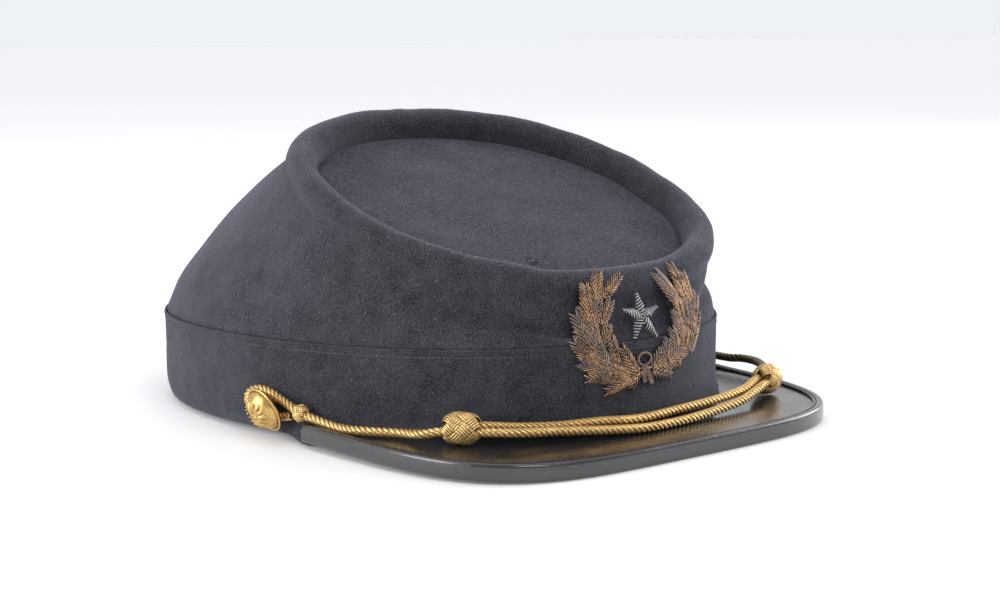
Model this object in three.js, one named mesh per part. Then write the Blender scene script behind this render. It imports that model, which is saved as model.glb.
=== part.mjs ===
// Kepi cap: cloth crown with a rolled rim round a sunken top, cloth band, bound leather peak,
// gold chin cord with slides and buttons, and an embroidered wreath.
// Millimetres, +Z up, front of the cap towards -Y, the wearer's right towards -X.

import * as THREE from 'three';

// Driving dimensions of the band, an oval a little narrower in front
const BAND_HALF_LENGTH = 100;
const BAND_HALF_WIDTH = 81.7;
const BAND_POWER = 2.1;
const BAND_NARROWING = 0.06;
const BAND_HEIGHT = 27.9;
const BAND_THICKNESS = 2.8;
const BAND_FRONT_LIFT = 2.7;
const BAND_EDGE_STAND = 0.2;
const BAND_EDGE_ROUND = 0.5;
const BAND_HEM_PULL = 1.6;
const BAND_HEM_HEIGHT = 7;
const BAND_HEM_FROM_DEGREES = 66;
const BAND_HEM_BLEND_DEGREES = 18;

// Rolled rim at the crown's top: the middle line of the roll, in a plane that dips forward
const RIM_CENTRE_Y = -34.5;
const RIM_CENTRE_Z = 67.6;
const RIM_DIP_DEGREES = 20.8;
const RIM_HALF_LENGTH = 59.6;
const RIM_HALF_WIDTH = 62.9;
const RIM_POWER = 2.2;
const RIM_ROLL_RADIUS = 4.5;
const CROWN_THICKNESS = 2.2;
const TOP_DEPTH = 3.4;
const TOP_THICKNESS = 2;

// How far the crown's side bulges out of a straight line, in front, at the sides and behind
const BULGE_FRONT = -1.5;
const BULGE_SIDE = 0;
const BULGE_BACK = 8.5;
const BULGE_LOWNESS = 0.92;
const BULGE_LEVEL_SHARE = 0.2;

// Leather peak: outline, plate and binding
const PEAK_REACH = 122.5;
const PEAK_HALF_WIDTH = 80.1;
const PEAK_POWER = 4.3;
const PEAK_REAR_Y = -40.6;
const PEAK_REAR_DEGREES = 69;
const PEAK_TAPER = 0.09;
const PEAK_CORNER_LIFT = 0.7;
const PEAK_THICKNESS = 2.5;
const BINDING_THICKNESS = 1;
const BINDING_WIDTH = 3;
const BINDING_ROUND = 0.5;

// Buttons, cord and what is on the cord
const BUTTON_RADIUS = 7.2;
const BUTTON_DOME = 4.2;
const BUTTON_RIM = 0.9;
const BUTTON_STANDOFF = 4.9;
const BUTTON_SHANK_RADIUS = 1;
const BUTTON_ANGLE = 75.7;
const BUTTON_HEIGHT = 11.8;
const BUTTON_DROOP_DEGREES = 21;
const BUTTON_TURN_BACK_DEGREES = 12;
const CORD_DIAMETER = 2.5;
const CORD_SIDES = 8;
const CORD_STEPS = 40;
const SLIDE_RADIUS = 4.8;
const SLIDE_BORE = 3.3;
const SLIDE_LENGTH = 11;
const KEEPER_RADIUS = 2.9;
const KEEPER_BORE = 2.05;
const KEEPER_LENGTH = 4.2;

// Embroidered wreath and star
const WREATH_HALF_WIDTH = 22.4;
const WREATH_HALF_HEIGHT = 13.8;
const WREATH_CENTRE = 7.5;
const WREATH_SHIFT = 2;
const WREATH_TIP_DEGREES = 36;
const WREATH_LEAN_DEGREES = 8;
const WREATH_BRANCH_WIDTH = 9;
const WREATH_THICKNESS = 2;
const WREATH_LEAVES = 9;
const STAR_RADIUS = 6.5;
const STAR_HEIGHT = 5.5;
const STAR_THICKNESS = 1.6;
const STAR_WAIST = 0.42;
const EMBROIDERY_BASE = 1.5;

const GAP = 0.3;
const ROUND_STEPS = 72;

const rimDip = THREE.MathUtils.degToRad(RIM_DIP_DEGREES);
const rimCentre = new THREE.Vector3(0, RIM_CENTRE_Y, RIM_CENTRE_Z);
const rimBackward = new THREE.Vector3(0, Math.cos(rimDip), Math.sin(rimDip));
const rimNormal = new THREE.Vector3(0, -Math.sin(rimDip), Math.cos(rimDip));

// The origin lies under the middle of the cap's box: the peak's front edge and the band's back
const BACK_Y = BAND_HALF_LENGTH + BAND_EDGE_STAND;
const ORIGIN_Y = (BACK_Y - PEAK_REACH) / 2;

const radians = THREE.MathUtils.degToRad;
const clamp = THREE.MathUtils.clamp;

function roundedPower(value, power) {
  return Math.sign(value) * Math.abs(value) ** (2 / power);
}

// Angle 0 is the front, positive towards the wearer's left
function roundAngles(count = ROUND_STEPS) {
  return Array.from({ length: count }, (_, i) => radians((360 * i) / count - 180));
}

function lift(y) {
  return (BAND_FRONT_LIFT * (BAND_HALF_LENGTH - y)) / (2 * BAND_HALF_LENGTH);
}

function bandPoint(angle, height, offset = 0) {
  const y = -(BAND_HALF_LENGTH + offset) * roundedPower(Math.cos(angle), BAND_POWER);
  const narrowing = 1 + (BAND_NARROWING * y) / BAND_HALF_LENGTH;
  const x = (BAND_HALF_WIDTH + offset) * roundedPower(Math.sin(angle), BAND_POWER) * narrowing;
  return new THREE.Vector3(x, y, height + lift(y));
}

function bandOutward(angle) {
  const outward = bandPoint(angle, 0, 1).sub(bandPoint(angle, 0, 0));
  outward.z = 0;
  return outward.normalize();
}

// A point by the rim: outward from the roll's middle line in its plane, and up from that plane
function rimPoint(angle, outward = 0, up = 0) {
  const back = -(RIM_HALF_LENGTH + outward) * roundedPower(Math.cos(angle), RIM_POWER);
  const side = (RIM_HALF_WIDTH + outward) * roundedPower(Math.sin(angle), RIM_POWER);
  return rimCentre.clone()
    .add(new THREE.Vector3(side, 0, 0))
    .addScaledVector(rimBackward, back)
    .addScaledVector(rimNormal, up);
}

function rollPoint(angle, turn, radius) {
  return rimPoint(angle, radius * Math.cos(turn), radius * Math.sin(turn));
}

// Soft folds of the crown's side: from one angle and height to another, depth and half width
const CROWN_FOLDS = [
  { fromAngle: -58, fromHeight: 0.95, toAngle: -16, toHeight: 0.2, depth: 1.6, width: 0.13 },
  { fromAngle: -50, fromHeight: 0.55, toAngle: -30, toHeight: 0.2, depth: -0.8, width: 0.12 },
  { fromAngle: -97, fromHeight: 1, toAngle: -88, toHeight: 0.45, depth: 0.9, width: 0.12 },
  { fromAngle: 56, fromHeight: 0.9, toAngle: 24, toHeight: 0.3, depth: 1.2, width: 0.14 },
  { fromAngle: 100, fromHeight: 0.95, toAngle: 112, toHeight: 0.3, depth: 0.8, width: 0.14 },
];
const FOLD_DEGREES_PER_HEIGHT = 60;

function foldDepth(angle, height) {
  const x = THREE.MathUtils.radToDeg(angle) / FOLD_DEGREES_PER_HEIGHT;
  let depth = 0;
  for (const fold of CROWN_FOLDS) {
    const x0 = fold.fromAngle / FOLD_DEGREES_PER_HEIGHT;
    const dx = fold.toAngle / FOLD_DEGREES_PER_HEIGHT - x0;
    const dh = fold.toHeight - fold.fromHeight;
    const along = ((x - x0) * dx + (height - fold.fromHeight) * dh) / (dx * dx + dh * dh);
    const inside = clamp(along, 0, 1);
    const distance = Math.hypot(x - x0 - dx * inside, height - fold.fromHeight - dh * inside);
    depth += fold.depth * Math.exp(-((distance / fold.width) ** 2));
  }
  return depth;
}

function bulge(angle) {
  const backward = -Math.cos(angle);
  const end = backward > 0 ? BULGE_BACK : BULGE_FRONT;
  return BULGE_SIDE + (end - BULGE_SIDE) * backward * backward;
}

// The crown's side between the seam on the band, height 0, and the groove under the roll, 1
const GROOVE_OUTWARD = 3.3;
const GROOVE_UP = -2.4;
const SEAM_STEP_IN = 0.6;

function sidePoint(angle, height, inward = 0) {
  const seam = bandPoint(angle, BAND_HEIGHT + GAP, -SEAM_STEP_IN);
  const groove = rimPoint(angle, GROOVE_OUTWARD, GROOVE_UP);
  const rise = groove.clone().sub(seam);
  const direction = rise.clone().normalize();
  const level = bandOutward(angle);
  const outward = level.clone().addScaledVector(direction, -level.dot(direction)).normalize();
  outward.lerp(level, clamp(1 - height / BULGE_LEVEL_SHARE, 0, 1)).normalize();
  const fold = foldDepth(angle, height) * Math.sin(Math.PI * height);
  const swell = bulge(angle) * Math.sin(Math.PI * height ** BULGE_LOWNESS) - fold;
  return seam.addScaledVector(rise, height).addScaledVector(outward, swell - inward);
}

// One closed body from sections placed one after another; each section is a closed line whose
// first half and second half face each other, so an end closes like a ladder
function closedBody(sections, joinsItself) {
  const size = sections[0].length;
  const count = sections.length;
  const positions = sections.flat().flatMap((p) => [p.x, p.y, p.z]);
  const indices = [];
  const last = joinsItself ? count : count - 1;
  for (let s = 0; s < last; s += 1) {
    for (let k = 0; k < size; k += 1) {
      const a = s * size + k;
      const b = s * size + ((k + 1) % size);
      const c = ((s + 1) % count) * size + ((k + 1) % size);
      const d = ((s + 1) % count) * size + k;
      indices.push(a, b, c, a, c, d);
    }
  }
  if (!joinsItself) {
    const end = (count - 1) * size;
    for (let k = 0; k < size / 2 - 1; k += 1) {
      const quad = [k, k + 1, size - 2 - k, size - 1 - k];
      const [a, b, c, d] = quad;
      indices.push(a, c, b, a, d, c);
      indices.push(end + a, end + b, end + c, end + a, end + c, end + d);
    }
  }
  return outwardGeometry(positions, indices);
}

function outwardGeometry(positions, indices) {
  const at = (i) => new THREE.Vector3().fromArray(positions, 3 * i);
  let volume = 0;
  for (let i = 0; i < indices.length; i += 3) {
    volume += at(indices[i]).dot(at(indices[i + 1]).cross(at(indices[i + 2])));
  }
  if (volume < 0) {
    indices.reverse();
  }
  const geometry = new THREE.BufferGeometry();
  geometry.setAttribute('position', new THREE.Float32BufferAttribute(positions, 3));
  geometry.setIndex(indices);
  geometry.computeVertexNormals();
  return geometry;
}

function crownGeometry() {
  const sideHeights = [0, 0.12, 0.26, 0.4, 0.55, 0.7, 0.85, 1];
  const rollTurns = [-14, 14, 42, 68, 90, 114, 146, 180].map(radians);
  const innerTurns = [180, 120, 60, 0].map(radians);
  const innerHeights = [0.92, 0.7, 0.45, 0.2, 0];
  const innerRadius = RIM_ROLL_RADIUS - CROWN_THICKNESS;
  const wallFoot = -TOP_DEPTH - TOP_THICKNESS;
  return closedBody(roundAngles().map((angle) => [
    ...sideHeights.map((height) => sidePoint(angle, height)),
    ...rollTurns.map((turn) => rollPoint(angle, turn, RIM_ROLL_RADIUS)),
    rimPoint(angle, -RIM_ROLL_RADIUS, wallFoot),
    rimPoint(angle, -innerRadius, wallFoot),
    ...innerTurns.map((turn) => rollPoint(angle, turn, innerRadius)),
    ...innerHeights.map((height) => sidePoint(angle, height, CROWN_THICKNESS)),
  ]), true);
}

function crownTopGeometry() {
  const inset = -RIM_ROLL_RADIUS - GAP;
  const ringSizes = [1, 0.6];
  const angles = roundAngles();
  const positions = [];
  const indices = [];
  const layers = [-TOP_DEPTH, -TOP_DEPTH - TOP_THICKNESS];
  const middle = (up) => rimPoint(0, -RIM_HALF_LENGTH, up);
  for (const up of layers) {
    for (const size of ringSizes) {
      for (const angle of angles) {
        positions.push(...middle(up).lerp(rimPoint(angle, inset, up), size).toArray());
      }
    }
    positions.push(...middle(up).toArray());
  }
  const count = angles.length;
  const layerSize = ringSizes.length * count + 1;
  for (let i = 0; i < count; i += 1) {
    const next = (i + 1) % count;
    for (let r = 0; r < ringSizes.length - 1; r += 1) {
      const a = r * count + i;
      const b = r * count + next;
      indices.push(a, b, b + count, a, b + count, a + count);
      indices.push(layerSize + a, layerSize + b + count, layerSize + b);
      indices.push(layerSize + a, layerSize + a + count, layerSize + b + count);
    }
    const inner = (ringSizes.length - 1) * count;
    indices.push(inner + i, inner + next, layerSize - 1);
    indices.push(layerSize + inner + i, 2 * layerSize - 1, layerSize + inner + next);
    indices.push(i, layerSize + i, layerSize + next, i, layerSize + next, next);
  }
  return outwardGeometry(positions, indices);
}

// The band's hem turns in where no peak is sewn to it
function hemPull(angle, height) {
  const beyond = Math.abs(THREE.MathUtils.radToDeg(angle)) - BAND_HEM_FROM_DEGREES;
  const behindPeak = clamp(beyond / BAND_HEM_BLEND_DEGREES, 0, 1);
  const low = clamp(1 - height / BAND_HEM_HEIGHT, 0, 1);
  return BAND_HEM_PULL * behindPeak * low * low;
}

function bandGeometry() {
  const outerHeights = [0, 2.5, 5, 8, 17, BAND_HEIGHT - 0.8, BAND_HEIGHT];
  const outerOffsets = [0, 0, 0, 0, 0, BAND_EDGE_STAND, -BAND_EDGE_ROUND];
  const innerHeights = [BAND_HEIGHT, 17, 8, 4, 0];
  return closedBody(roundAngles().map((angle) => [
    ...outerHeights.map((height, i) => (
      bandPoint(angle, height, outerOffsets[i] - hemPull(angle, height)))),
    ...innerHeights.map((height) => (
      bandPoint(angle, height, -BAND_THICKNESS - hemPull(angle, height)))),
  ]), true);
}

// The peak's outline, from its right rear corner round the front to the left one
function peakOutline(turn) {
  const y = PEAK_REAR_Y - (PEAK_REACH + PEAK_REAR_Y) * Math.abs(Math.sin(turn)) ** (2 / PEAK_POWER);
  const taper = 1 + (PEAK_TAPER * (y - PEAK_REAR_Y)) / PEAK_REACH;
  const x = -PEAK_HALF_WIDTH * roundedPower(Math.cos(turn), PEAK_POWER) * taper;
  return new THREE.Vector2(x, y);
}

function peakFloor(x, y) {
  const rear = clamp((y + PEAK_REACH) / (PEAK_REACH + PEAK_REAR_Y), 0, 1);
  const corner = PEAK_CORNER_LIFT * (x / PEAK_HALF_WIDTH) ** 2 * (1 - rear);
  return lift(PEAK_REAR_Y) * rear + corner;
}

const PEAK_STATIONS = 60;
const CORNER_CROWDING = 0.55;
const PLATE_FLOOR = BINDING_THICKNESS + GAP;
const PLATE_TOP = PLATE_FLOOR + PEAK_THICKNESS;
const BINDING_TOP = PLATE_TOP + GAP + BINDING_THICKNESS;

// Stations round the outline, each with the outward direction in plan
function peakStations() {
  const turns = Array.from({ length: PEAK_STATIONS + 1 }, (_, i) => {
    const even = i / PEAK_STATIONS;
    const eased = even - (CORNER_CROWDING * Math.sin(4 * Math.PI * even)) / (4 * Math.PI);
    return Math.PI * eased;
  });
  return turns.map((turn) => {
    const step = 0.002;
    const before = peakOutline(clamp(turn - step, 0, Math.PI));
    const after = peakOutline(clamp(turn + step, 0, Math.PI));
    const along = after.sub(before).normalize();
    return { edge: peakOutline(turn), outward: new THREE.Vector2(along.y, -along.x) };
  });
}

function inPlan(station, inward, height) {
  const x = station.edge.x - station.outward.x * inward;
  const y = station.edge.y - station.outward.y * inward;
  return new THREE.Vector3(x, y, peakFloor(x, y) + height);
}

// The point of the band's oval that a station of the peak faces
function innerEdge(station, height) {
  const angle = Math.atan2(station.edge.x / PEAK_HALF_WIDTH, -station.edge.y / PEAK_REACH);
  const rearAngle = radians(PEAK_REAR_DEGREES);
  const point = bandPoint(clamp(angle, -rearAngle, rearAngle), 0, 2 * GAP);
  return new THREE.Vector3(point.x, point.y, peakFloor(point.x, point.y) + height);
}

function peakGeometry() {
  const inset = BINDING_THICKNESS + GAP;
  return closedBody(peakStations().map((station) => [
    innerEdge(station, PLATE_FLOOR),
    inPlan(station, inset, PLATE_FLOOR),
    inPlan(station, inset, PLATE_TOP),
    innerEdge(station, PLATE_TOP),
  ]), false);
}

// Folded binding: a channel that takes the plate's edge
function bindingGeometry() {
  const wall = BINDING_THICKNESS;
  return closedBody(peakStations().map((station) => [
    inPlan(station, BINDING_WIDTH, 0),
    inPlan(station, BINDING_ROUND, 0),
    inPlan(station, 0, BINDING_ROUND),
    inPlan(station, 0, BINDING_TOP - BINDING_ROUND),
    inPlan(station, BINDING_ROUND, BINDING_TOP),
    inPlan(station, BINDING_WIDTH, BINDING_TOP),
    inPlan(station, BINDING_WIDTH, BINDING_TOP - wall),
    inPlan(station, wall, BINDING_TOP - wall),
    inPlan(station, wall, BINDING_TOP - wall - 0.1),
    inPlan(station, wall, wall + 0.1),
    inPlan(station, wall, wall),
    inPlan(station, BINDING_WIDTH, wall),
  ]), false);
}

// Buttons: sign is -1 on the wearer's right and +1 on the left
function buttonFrame(sign) {
  const angle = sign * radians(BUTTON_ANGLE);
  const outward = bandOutward(angle);
  const droop = radians(BUTTON_DROOP_DEGREES);
  const turn = sign * radians(BUTTON_TURN_BACK_DEGREES);
  const axis = outward.clone().applyAxisAngle(new THREE.Vector3(0, 0, 1), turn);
  axis.multiplyScalar(Math.cos(droop));
  axis.z -= Math.sin(droop);
  const lean = Math.sin(axis.angleTo(outward));
  const foot = bandPoint(angle, 0).setZ(BUTTON_HEIGHT);
  foot.addScaledVector(outward, GAP + BUTTON_SHANK_RADIUS * lean);
  return { foot, axis };
}

function buttonGeometry() {
  const top = BUTTON_STANDOFF + BUTTON_RIM;
  const profile = [
    [0, 0],
    [BUTTON_SHANK_RADIUS, 0],
    [BUTTON_SHANK_RADIUS, BUTTON_STANDOFF],
    [BUTTON_RADIUS - 0.3, BUTTON_STANDOFF],
    [BUTTON_RADIUS, BUTTON_STANDOFF + 0.4],
    [BUTTON_RADIUS - 0.2, top],
    [BUTTON_RADIUS - 1.1, top],
    [BUTTON_RADIUS * 0.74, top + BUTTON_DOME * 0.34],
    [BUTTON_RADIUS * 0.57, top + BUTTON_DOME * 0.66],
    [BUTTON_RADIUS * 0.32, top + BUTTON_DOME * 0.9],
    [0, top + BUTTON_DOME],
  ];
  return new THREE.LatheGeometry(profile.map(([r, h]) => new THREE.Vector2(r, h)), 20);
}

// A knot with a way through it, as a closed barrel
function barrelGeometry(radius, bore, length) {
  const half = length / 2;
  const profile = [
    [bore, -half],
    [radius * 0.74, -half],
    [radius * 0.95, -half * 0.55],
    [radius, 0],
    [radius * 0.95, half * 0.55],
    [radius * 0.74, half],
    [bore, half],
    [bore, -half],
  ];
  return new THREE.LatheGeometry(profile.map(([r, h]) => new THREE.Vector2(r, h)), 14);
}

// The cords' routes, chosen by hand along the band and the peak. The right cord loops its
// button, passes its keeper and slide and ends in the left slide; the left one the other way.
const RIGHT_ROUTE = [
  [-78.3, -33.3, 8.2], [-79.2, -29.1, 7.5], [-79.9, -25, 7], [-80.7, -20.5, 6.9],
  [-81.5, -16.4, 8.1], [-82, -14.2, 11], [-81.9, -15.6, 14.2], [-81.2, -19.5, 16],
  [-80.3, -24.2, 15.6], [-79.5, -29.2, 13.5], [-78.9, -34.2, 11.0], [-78.2, -37.9, 9.7],
  [-76.6, -41.7, 8.5], [-74.2, -50.0, 7.1], [-72.3, -59.6, 7.3], [-65.7, -69.8, 7.4],
  [-64.1, -78.1, 8.3], [-60.8, -82.5, 9.2], [-56.8, -86.4, 9.2], [-52.4, -90.8, 9.2],
  [-44.2, -96.8, 8.9], [-32.1, -99.5, 8.1], [-19.9, -102.5, 7.1], [-7.1, -105.3, 6.3],
  [2.5, -105.5, 6.1], [13.6, -104.8, 6.2], [26.2, -102.7, 6.5], [39.0, -100.8, 7.5],
  [54.9, -95.0, 9.5], [60.1, -92.6, 9.5], [62.7, -91.5, 9.5],
];
const LEFT_ROUTE = [
  [78.3, -33.3, 8.2], [79.2, -29.1, 7.5], [79.9, -25, 7], [80.7, -20.5, 6.9],
  [81.5, -16.4, 8.1], [82, -14.2, 11], [81.9, -15.6, 14.2], [81.2, -19.5, 16],
  [80.3, -24.2, 15.6], [79.5, -29.2, 13.5], [78.9, -34.2, 11.0], [78.6, -37.9, 9.9],
  [79.6, -43.0, 9.6], [78.2, -56.5, 9.9], [79.1, -62.0, 10.3], [77.2, -69.8, 10.6],
  [71.8, -78.4, 10.8], [64.7, -87.6, 10.7], [59.1, -90.2, 10.7], [53.6, -92.6, 10.7],
  [43.6, -96.3, 9.3], [29.8, -99.2, 8.8], [12.0, -101.0, 8.5], [-4.6, -102.6, 8.4],
  [-17.5, -99.8, 8.9], [-29.0, -95.9, 8.6], [-39.9, -91.4, 9.0], [-50.6, -88.9, 10.4],
  [-55.0, -84.6, 10.4], [-57.0, -82.6, 10.4],
];
const RIGHT_SLIDE = { centre: [-55.9, -85.5, 10], axis: [0.71, -0.7, 0] };
const LEFT_SLIDE = { centre: [59.6, -91.4, 10.1], axis: [0.91, 0.41, 0] };
const RIGHT_KEEPER = { centre: [-78.2, -37.9, 9.7], axis: [0.24, -0.9, -0.36] };
const LEFT_KEEPER = { centre: [78.6, -37.9, 9.9], axis: [0.08, -0.98, -0.16] };

function cordGeometry(route) {
  const path = new THREE.CatmullRomCurve3(route.map((p) => new THREE.Vector3(...p)));
  const section = new THREE.Shape(Array.from({ length: CORD_SIDES }, (_, i) => {
    const angle = (2 * Math.PI * i) / CORD_SIDES;
    const radius = CORD_DIAMETER / 2;
    return new THREE.Vector2(radius * Math.cos(angle), radius * Math.sin(angle));
  }));
  return new THREE.ExtrudeGeometry(section, { steps: CORD_STEPS, extrudePath: path });
}

// The front of the cap under the embroidery: along is the distance sideways, up the distance
// from the seam along the cloth, over the crown's front to the crest of the roll
function frontPoint(along, up, offset) {
  const angle = along / (BAND_HALF_WIDTH * 0.98);
  const outward = bandOutward(angle);
  if (up <= 0) {
    return bandPoint(angle, BAND_HEIGHT + up).addScaledVector(outward, offset);
  }
  const seam = bandPoint(angle, BAND_HEIGHT);
  const shoulder = rimPoint(angle, RIM_ROLL_RADIUS + 1.5, 0);
  const crest = rimPoint(angle, 0, RIM_ROLL_RADIUS);
  const share = clamp(up / (seam.distanceTo(shoulder) + shoulder.distanceTo(crest)), 0, 1);
  const point = seam.clone().multiplyScalar((1 - share) ** 2)
    .addScaledVector(shoulder, 2 * share * (1 - share))
    .addScaledVector(crest, share ** 2);
  const upward = crest.clone().sub(seam).normalize();
  const facing = outward.clone().addScaledVector(upward, -outward.dot(upward)).normalize();
  facing.lerp(outward, 1 - share).normalize();
  return point.addScaledVector(facing, offset);
}

// The embroidery leans a little to the wearer's left and stands off the middle
function leaned(along, up) {
  const lean = radians(WREATH_LEAN_DEGREES);
  return [
    WREATH_SHIFT + along * Math.cos(lean) + up * Math.sin(lean),
    up * Math.cos(lean) - along * Math.sin(lean),
  ];
}

// One strip from the right tip through the bow to the left tip; its edges step in and out
// as the leaves do
function wreathGeometry() {
  const stepsPerLeaf = 3;
  const count = 2 * WREATH_LEAVES * stepsPerLeaf;
  const start = radians(WREATH_TIP_DEGREES - 180);
  const sections = [];
  for (let i = 0; i <= count; i += 1) {
    const share = i / count;
    const turn = -start * (2 * share - 1);
    const fromBow = Math.abs(2 * share - 1);
    const leaf = (fromBow * WREATH_LEAVES) % 1;
    const full = 0.45 + 0.55 * Math.min(1, 4 * fromBow, 5 * (1.02 - fromBow));
    const half = (WREATH_BRANCH_WIDTH / 2) * full * (0.78 + 0.34 * leaf);
    const across = new THREE.Vector2(Math.sin(turn), -Math.cos(turn));
    const at = (side, offset) => {
      const along = WREATH_HALF_WIDTH * Math.sin(turn) + across.x * side;
      const up = WREATH_CENTRE - WREATH_HALF_HEIGHT * Math.cos(turn) + across.y * side;
      return frontPoint(...leaned(along, up), offset);
    };
    const base = EMBROIDERY_BASE;
    const edge = base + WREATH_THICKNESS / 2;
    sections.push([
      at(-half, base), at(0, base), at(half, base),
      at(half, edge), at(0, base + WREATH_THICKNESS), at(-half, edge),
    ]);
  }
  return closedBody(sections, false);
}

// Five points round a raised middle
function starGeometry() {
  const points = 10;
  const positions = [];
  const indices = [];
  const base = EMBROIDERY_BASE;
  const place = (radius, turn, offset) => {
    const along = radius * Math.sin(turn);
    const up = STAR_HEIGHT + radius * Math.cos(turn);
    positions.push(...frontPoint(...leaned(along, up), offset).toArray());
  };
  for (const offset of [base, base + STAR_THICKNESS / 3]) {
    for (let i = 0; i < points; i += 1) {
      const radius = i % 2 === 0 ? STAR_RADIUS : STAR_RADIUS * STAR_WAIST;
      place(radius, (2 * Math.PI * i) / points, offset);
    }
  }
  place(0, 0, base);
  place(0, 0, base + STAR_THICKNESS);
  for (let i = 0; i < points; i += 1) {
    const next = (i + 1) % points;
    indices.push(2 * points, next, i);
    indices.push(2 * points + 1, points + i, points + next);
    indices.push(i, next, points + next, i, points + next, points + i);
  }
  return outwardGeometry(positions, indices);
}

const cloth = new THREE.MeshStandardMaterial({ color: 0x1c1f2a, roughness: 0.95, metalness: 0 });
const leather = new THREE.MeshStandardMaterial({ color: 0x0c0c0d, roughness: 0.25, metalness: 0 });
const gilt = new THREE.MeshStandardMaterial({ color: 0xb8862f, roughness: 0.35, metalness: 1 });
const bullion = new THREE.MeshStandardMaterial({ color: 0x7a5a34, roughness: 0.5, metalness: 0.8 });
const silver = new THREE.MeshStandardMaterial({ color: 0x8d8a86, roughness: 0.5, metalness: 0.8 });

const cap = new THREE.Group();
cap.position.y = -ORIGIN_Y;

function addPiece(name, geometry, material) {
  const mesh = new THREE.Mesh(geometry, material.clone());
  mesh.name = name;
  cap.add(mesh);
  return mesh;
}

function placeAlong(mesh, centre, axis) {
  mesh.position.copy(centre);
  mesh.quaternion.setFromUnitVectors(new THREE.Vector3(0, 1, 0), axis.clone().normalize());
}

addPiece('crown', crownGeometry(), cloth);
addPiece('crown_top', crownTopGeometry(), cloth);
addPiece('band', bandGeometry(), cloth);
addPiece('peak', peakGeometry(), leather);
addPiece('peak_binding', bindingGeometry(), leather);

for (const [side, sign] of [['right', -1], ['left', 1]]) {
  const { foot, axis } = buttonFrame(sign);
  placeAlong(addPiece(`button_${side}`, buttonGeometry(), gilt), foot, axis);
}

addPiece('chin_cord_right', cordGeometry(RIGHT_ROUTE), gilt);
addPiece('chin_cord_left', cordGeometry(LEFT_ROUTE), gilt);

const knots = [
  ['cord_slide_right', RIGHT_SLIDE, SLIDE_RADIUS, SLIDE_BORE, SLIDE_LENGTH],
  ['cord_slide_left', LEFT_SLIDE, SLIDE_RADIUS, SLIDE_BORE, SLIDE_LENGTH],
  ['cord_keeper_right', RIGHT_KEEPER, KEEPER_RADIUS, KEEPER_BORE, KEEPER_LENGTH],
  ['cord_keeper_left', LEFT_KEEPER, KEEPER_RADIUS, KEEPER_BORE, KEEPER_LENGTH],
];
for (const [name, place, radius, bore, length] of knots) {
  const mesh = addPiece(name, barrelGeometry(radius, bore, length), gilt);
  placeAlong(mesh, new THREE.Vector3(...place.centre), new THREE.Vector3(...place.axis));
}

addPiece('wreath', wreathGeometry(), bullion);
addPiece('star', starGeometry(), silver);

export default cap;
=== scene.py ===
import math

import bmesh
import bpy
import numpy as np
from bpy.props import FloatProperty, FloatVectorProperty, IntProperty, PointerProperty
from mathutils import Matrix, Vector


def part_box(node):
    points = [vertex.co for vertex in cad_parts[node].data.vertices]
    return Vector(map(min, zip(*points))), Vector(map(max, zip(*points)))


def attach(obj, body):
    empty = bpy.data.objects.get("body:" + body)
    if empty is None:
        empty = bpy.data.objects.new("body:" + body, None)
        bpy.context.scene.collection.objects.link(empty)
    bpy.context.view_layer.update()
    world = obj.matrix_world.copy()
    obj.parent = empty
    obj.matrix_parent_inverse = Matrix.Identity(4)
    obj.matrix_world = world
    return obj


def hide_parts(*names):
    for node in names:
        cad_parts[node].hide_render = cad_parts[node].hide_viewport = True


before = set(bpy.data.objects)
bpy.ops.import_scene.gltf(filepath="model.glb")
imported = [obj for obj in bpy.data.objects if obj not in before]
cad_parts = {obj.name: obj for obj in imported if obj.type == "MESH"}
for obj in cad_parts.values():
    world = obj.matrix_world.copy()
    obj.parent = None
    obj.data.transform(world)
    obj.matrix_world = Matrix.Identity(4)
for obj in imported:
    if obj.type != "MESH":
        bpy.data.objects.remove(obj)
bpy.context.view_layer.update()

bl_info = {
    "name": "Kepi Cap",
    "version": (1, 0, 0),
    "blender": (4, 5, 0),
    "location": "View3D > Sidebar > Kepi",
    "description": "Builds a cloth kepi with a leather peak, a gold chin cord and an embroidered wreath",
    "category": "Add Mesh",
}

# The band's oval, whose middle is the middle of the cap. Metres, front towards -Y
BAND_LOW, BAND_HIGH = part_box("band")
CAP_CENTRE_Y = (BAND_LOW.y + BAND_HIGH.y) / 2
BAND_HALF_LENGTH = 0.1
BAND_HALF_WIDTH = 0.0817
BAND_POWER = 2.1
BAND_NARROWING = 0.06
BAND_HEIGHT = 0.0279
BAND_FRONT_LIFT = 0.0027
STITCH_HEIGHT = 0.0256
HEM_PULL = 0.0016
HEM_HEIGHT = 0.007
HEM_FROM_DEGREES = 66
HEM_BLEND_DEGREES = 18
FLARE_DEGREES = 68
FLARE_HALF_DEGREES = 4.5
FLARE_HEIGHT = 0.006
FLARE_OUT = 0.0045
FLARE_DOWN = 0.0014
HEM_ROLL = 0.0009
HEM_ROLL_HEIGHT = 0.0042
HEM_ROLL_HALF_HEIGHT = 0.0019
PUCKER_DEPTH = 0.00016
PUCKER_HALF_HEIGHT = 0.0005

# The rolled rim round the sunken top
RIM_CENTRE = np.array((0, -0.0345, 0.0676))
RIM_DIP = math.radians(20.8)
RIM_HALF_LENGTH = 0.0596
RIM_HALF_WIDTH = 0.0629
RIM_POWER = 2.2
ROLL_RADIUS = 0.0045
CROWN_THICKNESS = 0.0022
TOP_DEPTH = 0.0034
TOP_THICKNESS = 0.002
TOP_SLACK = 0.0009
TOP_EDGE_TURN = 0.0006
MOTH_HOLE = np.array((-0.0147, -0.0665, 0.0514))
MOTH_HOLE_DEPTH = 0.0016
MOTH_HOLE_REACH = 0.0022
BULGE_FRONT = -0.0015
BULGE_BACK = 0.0085

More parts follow.
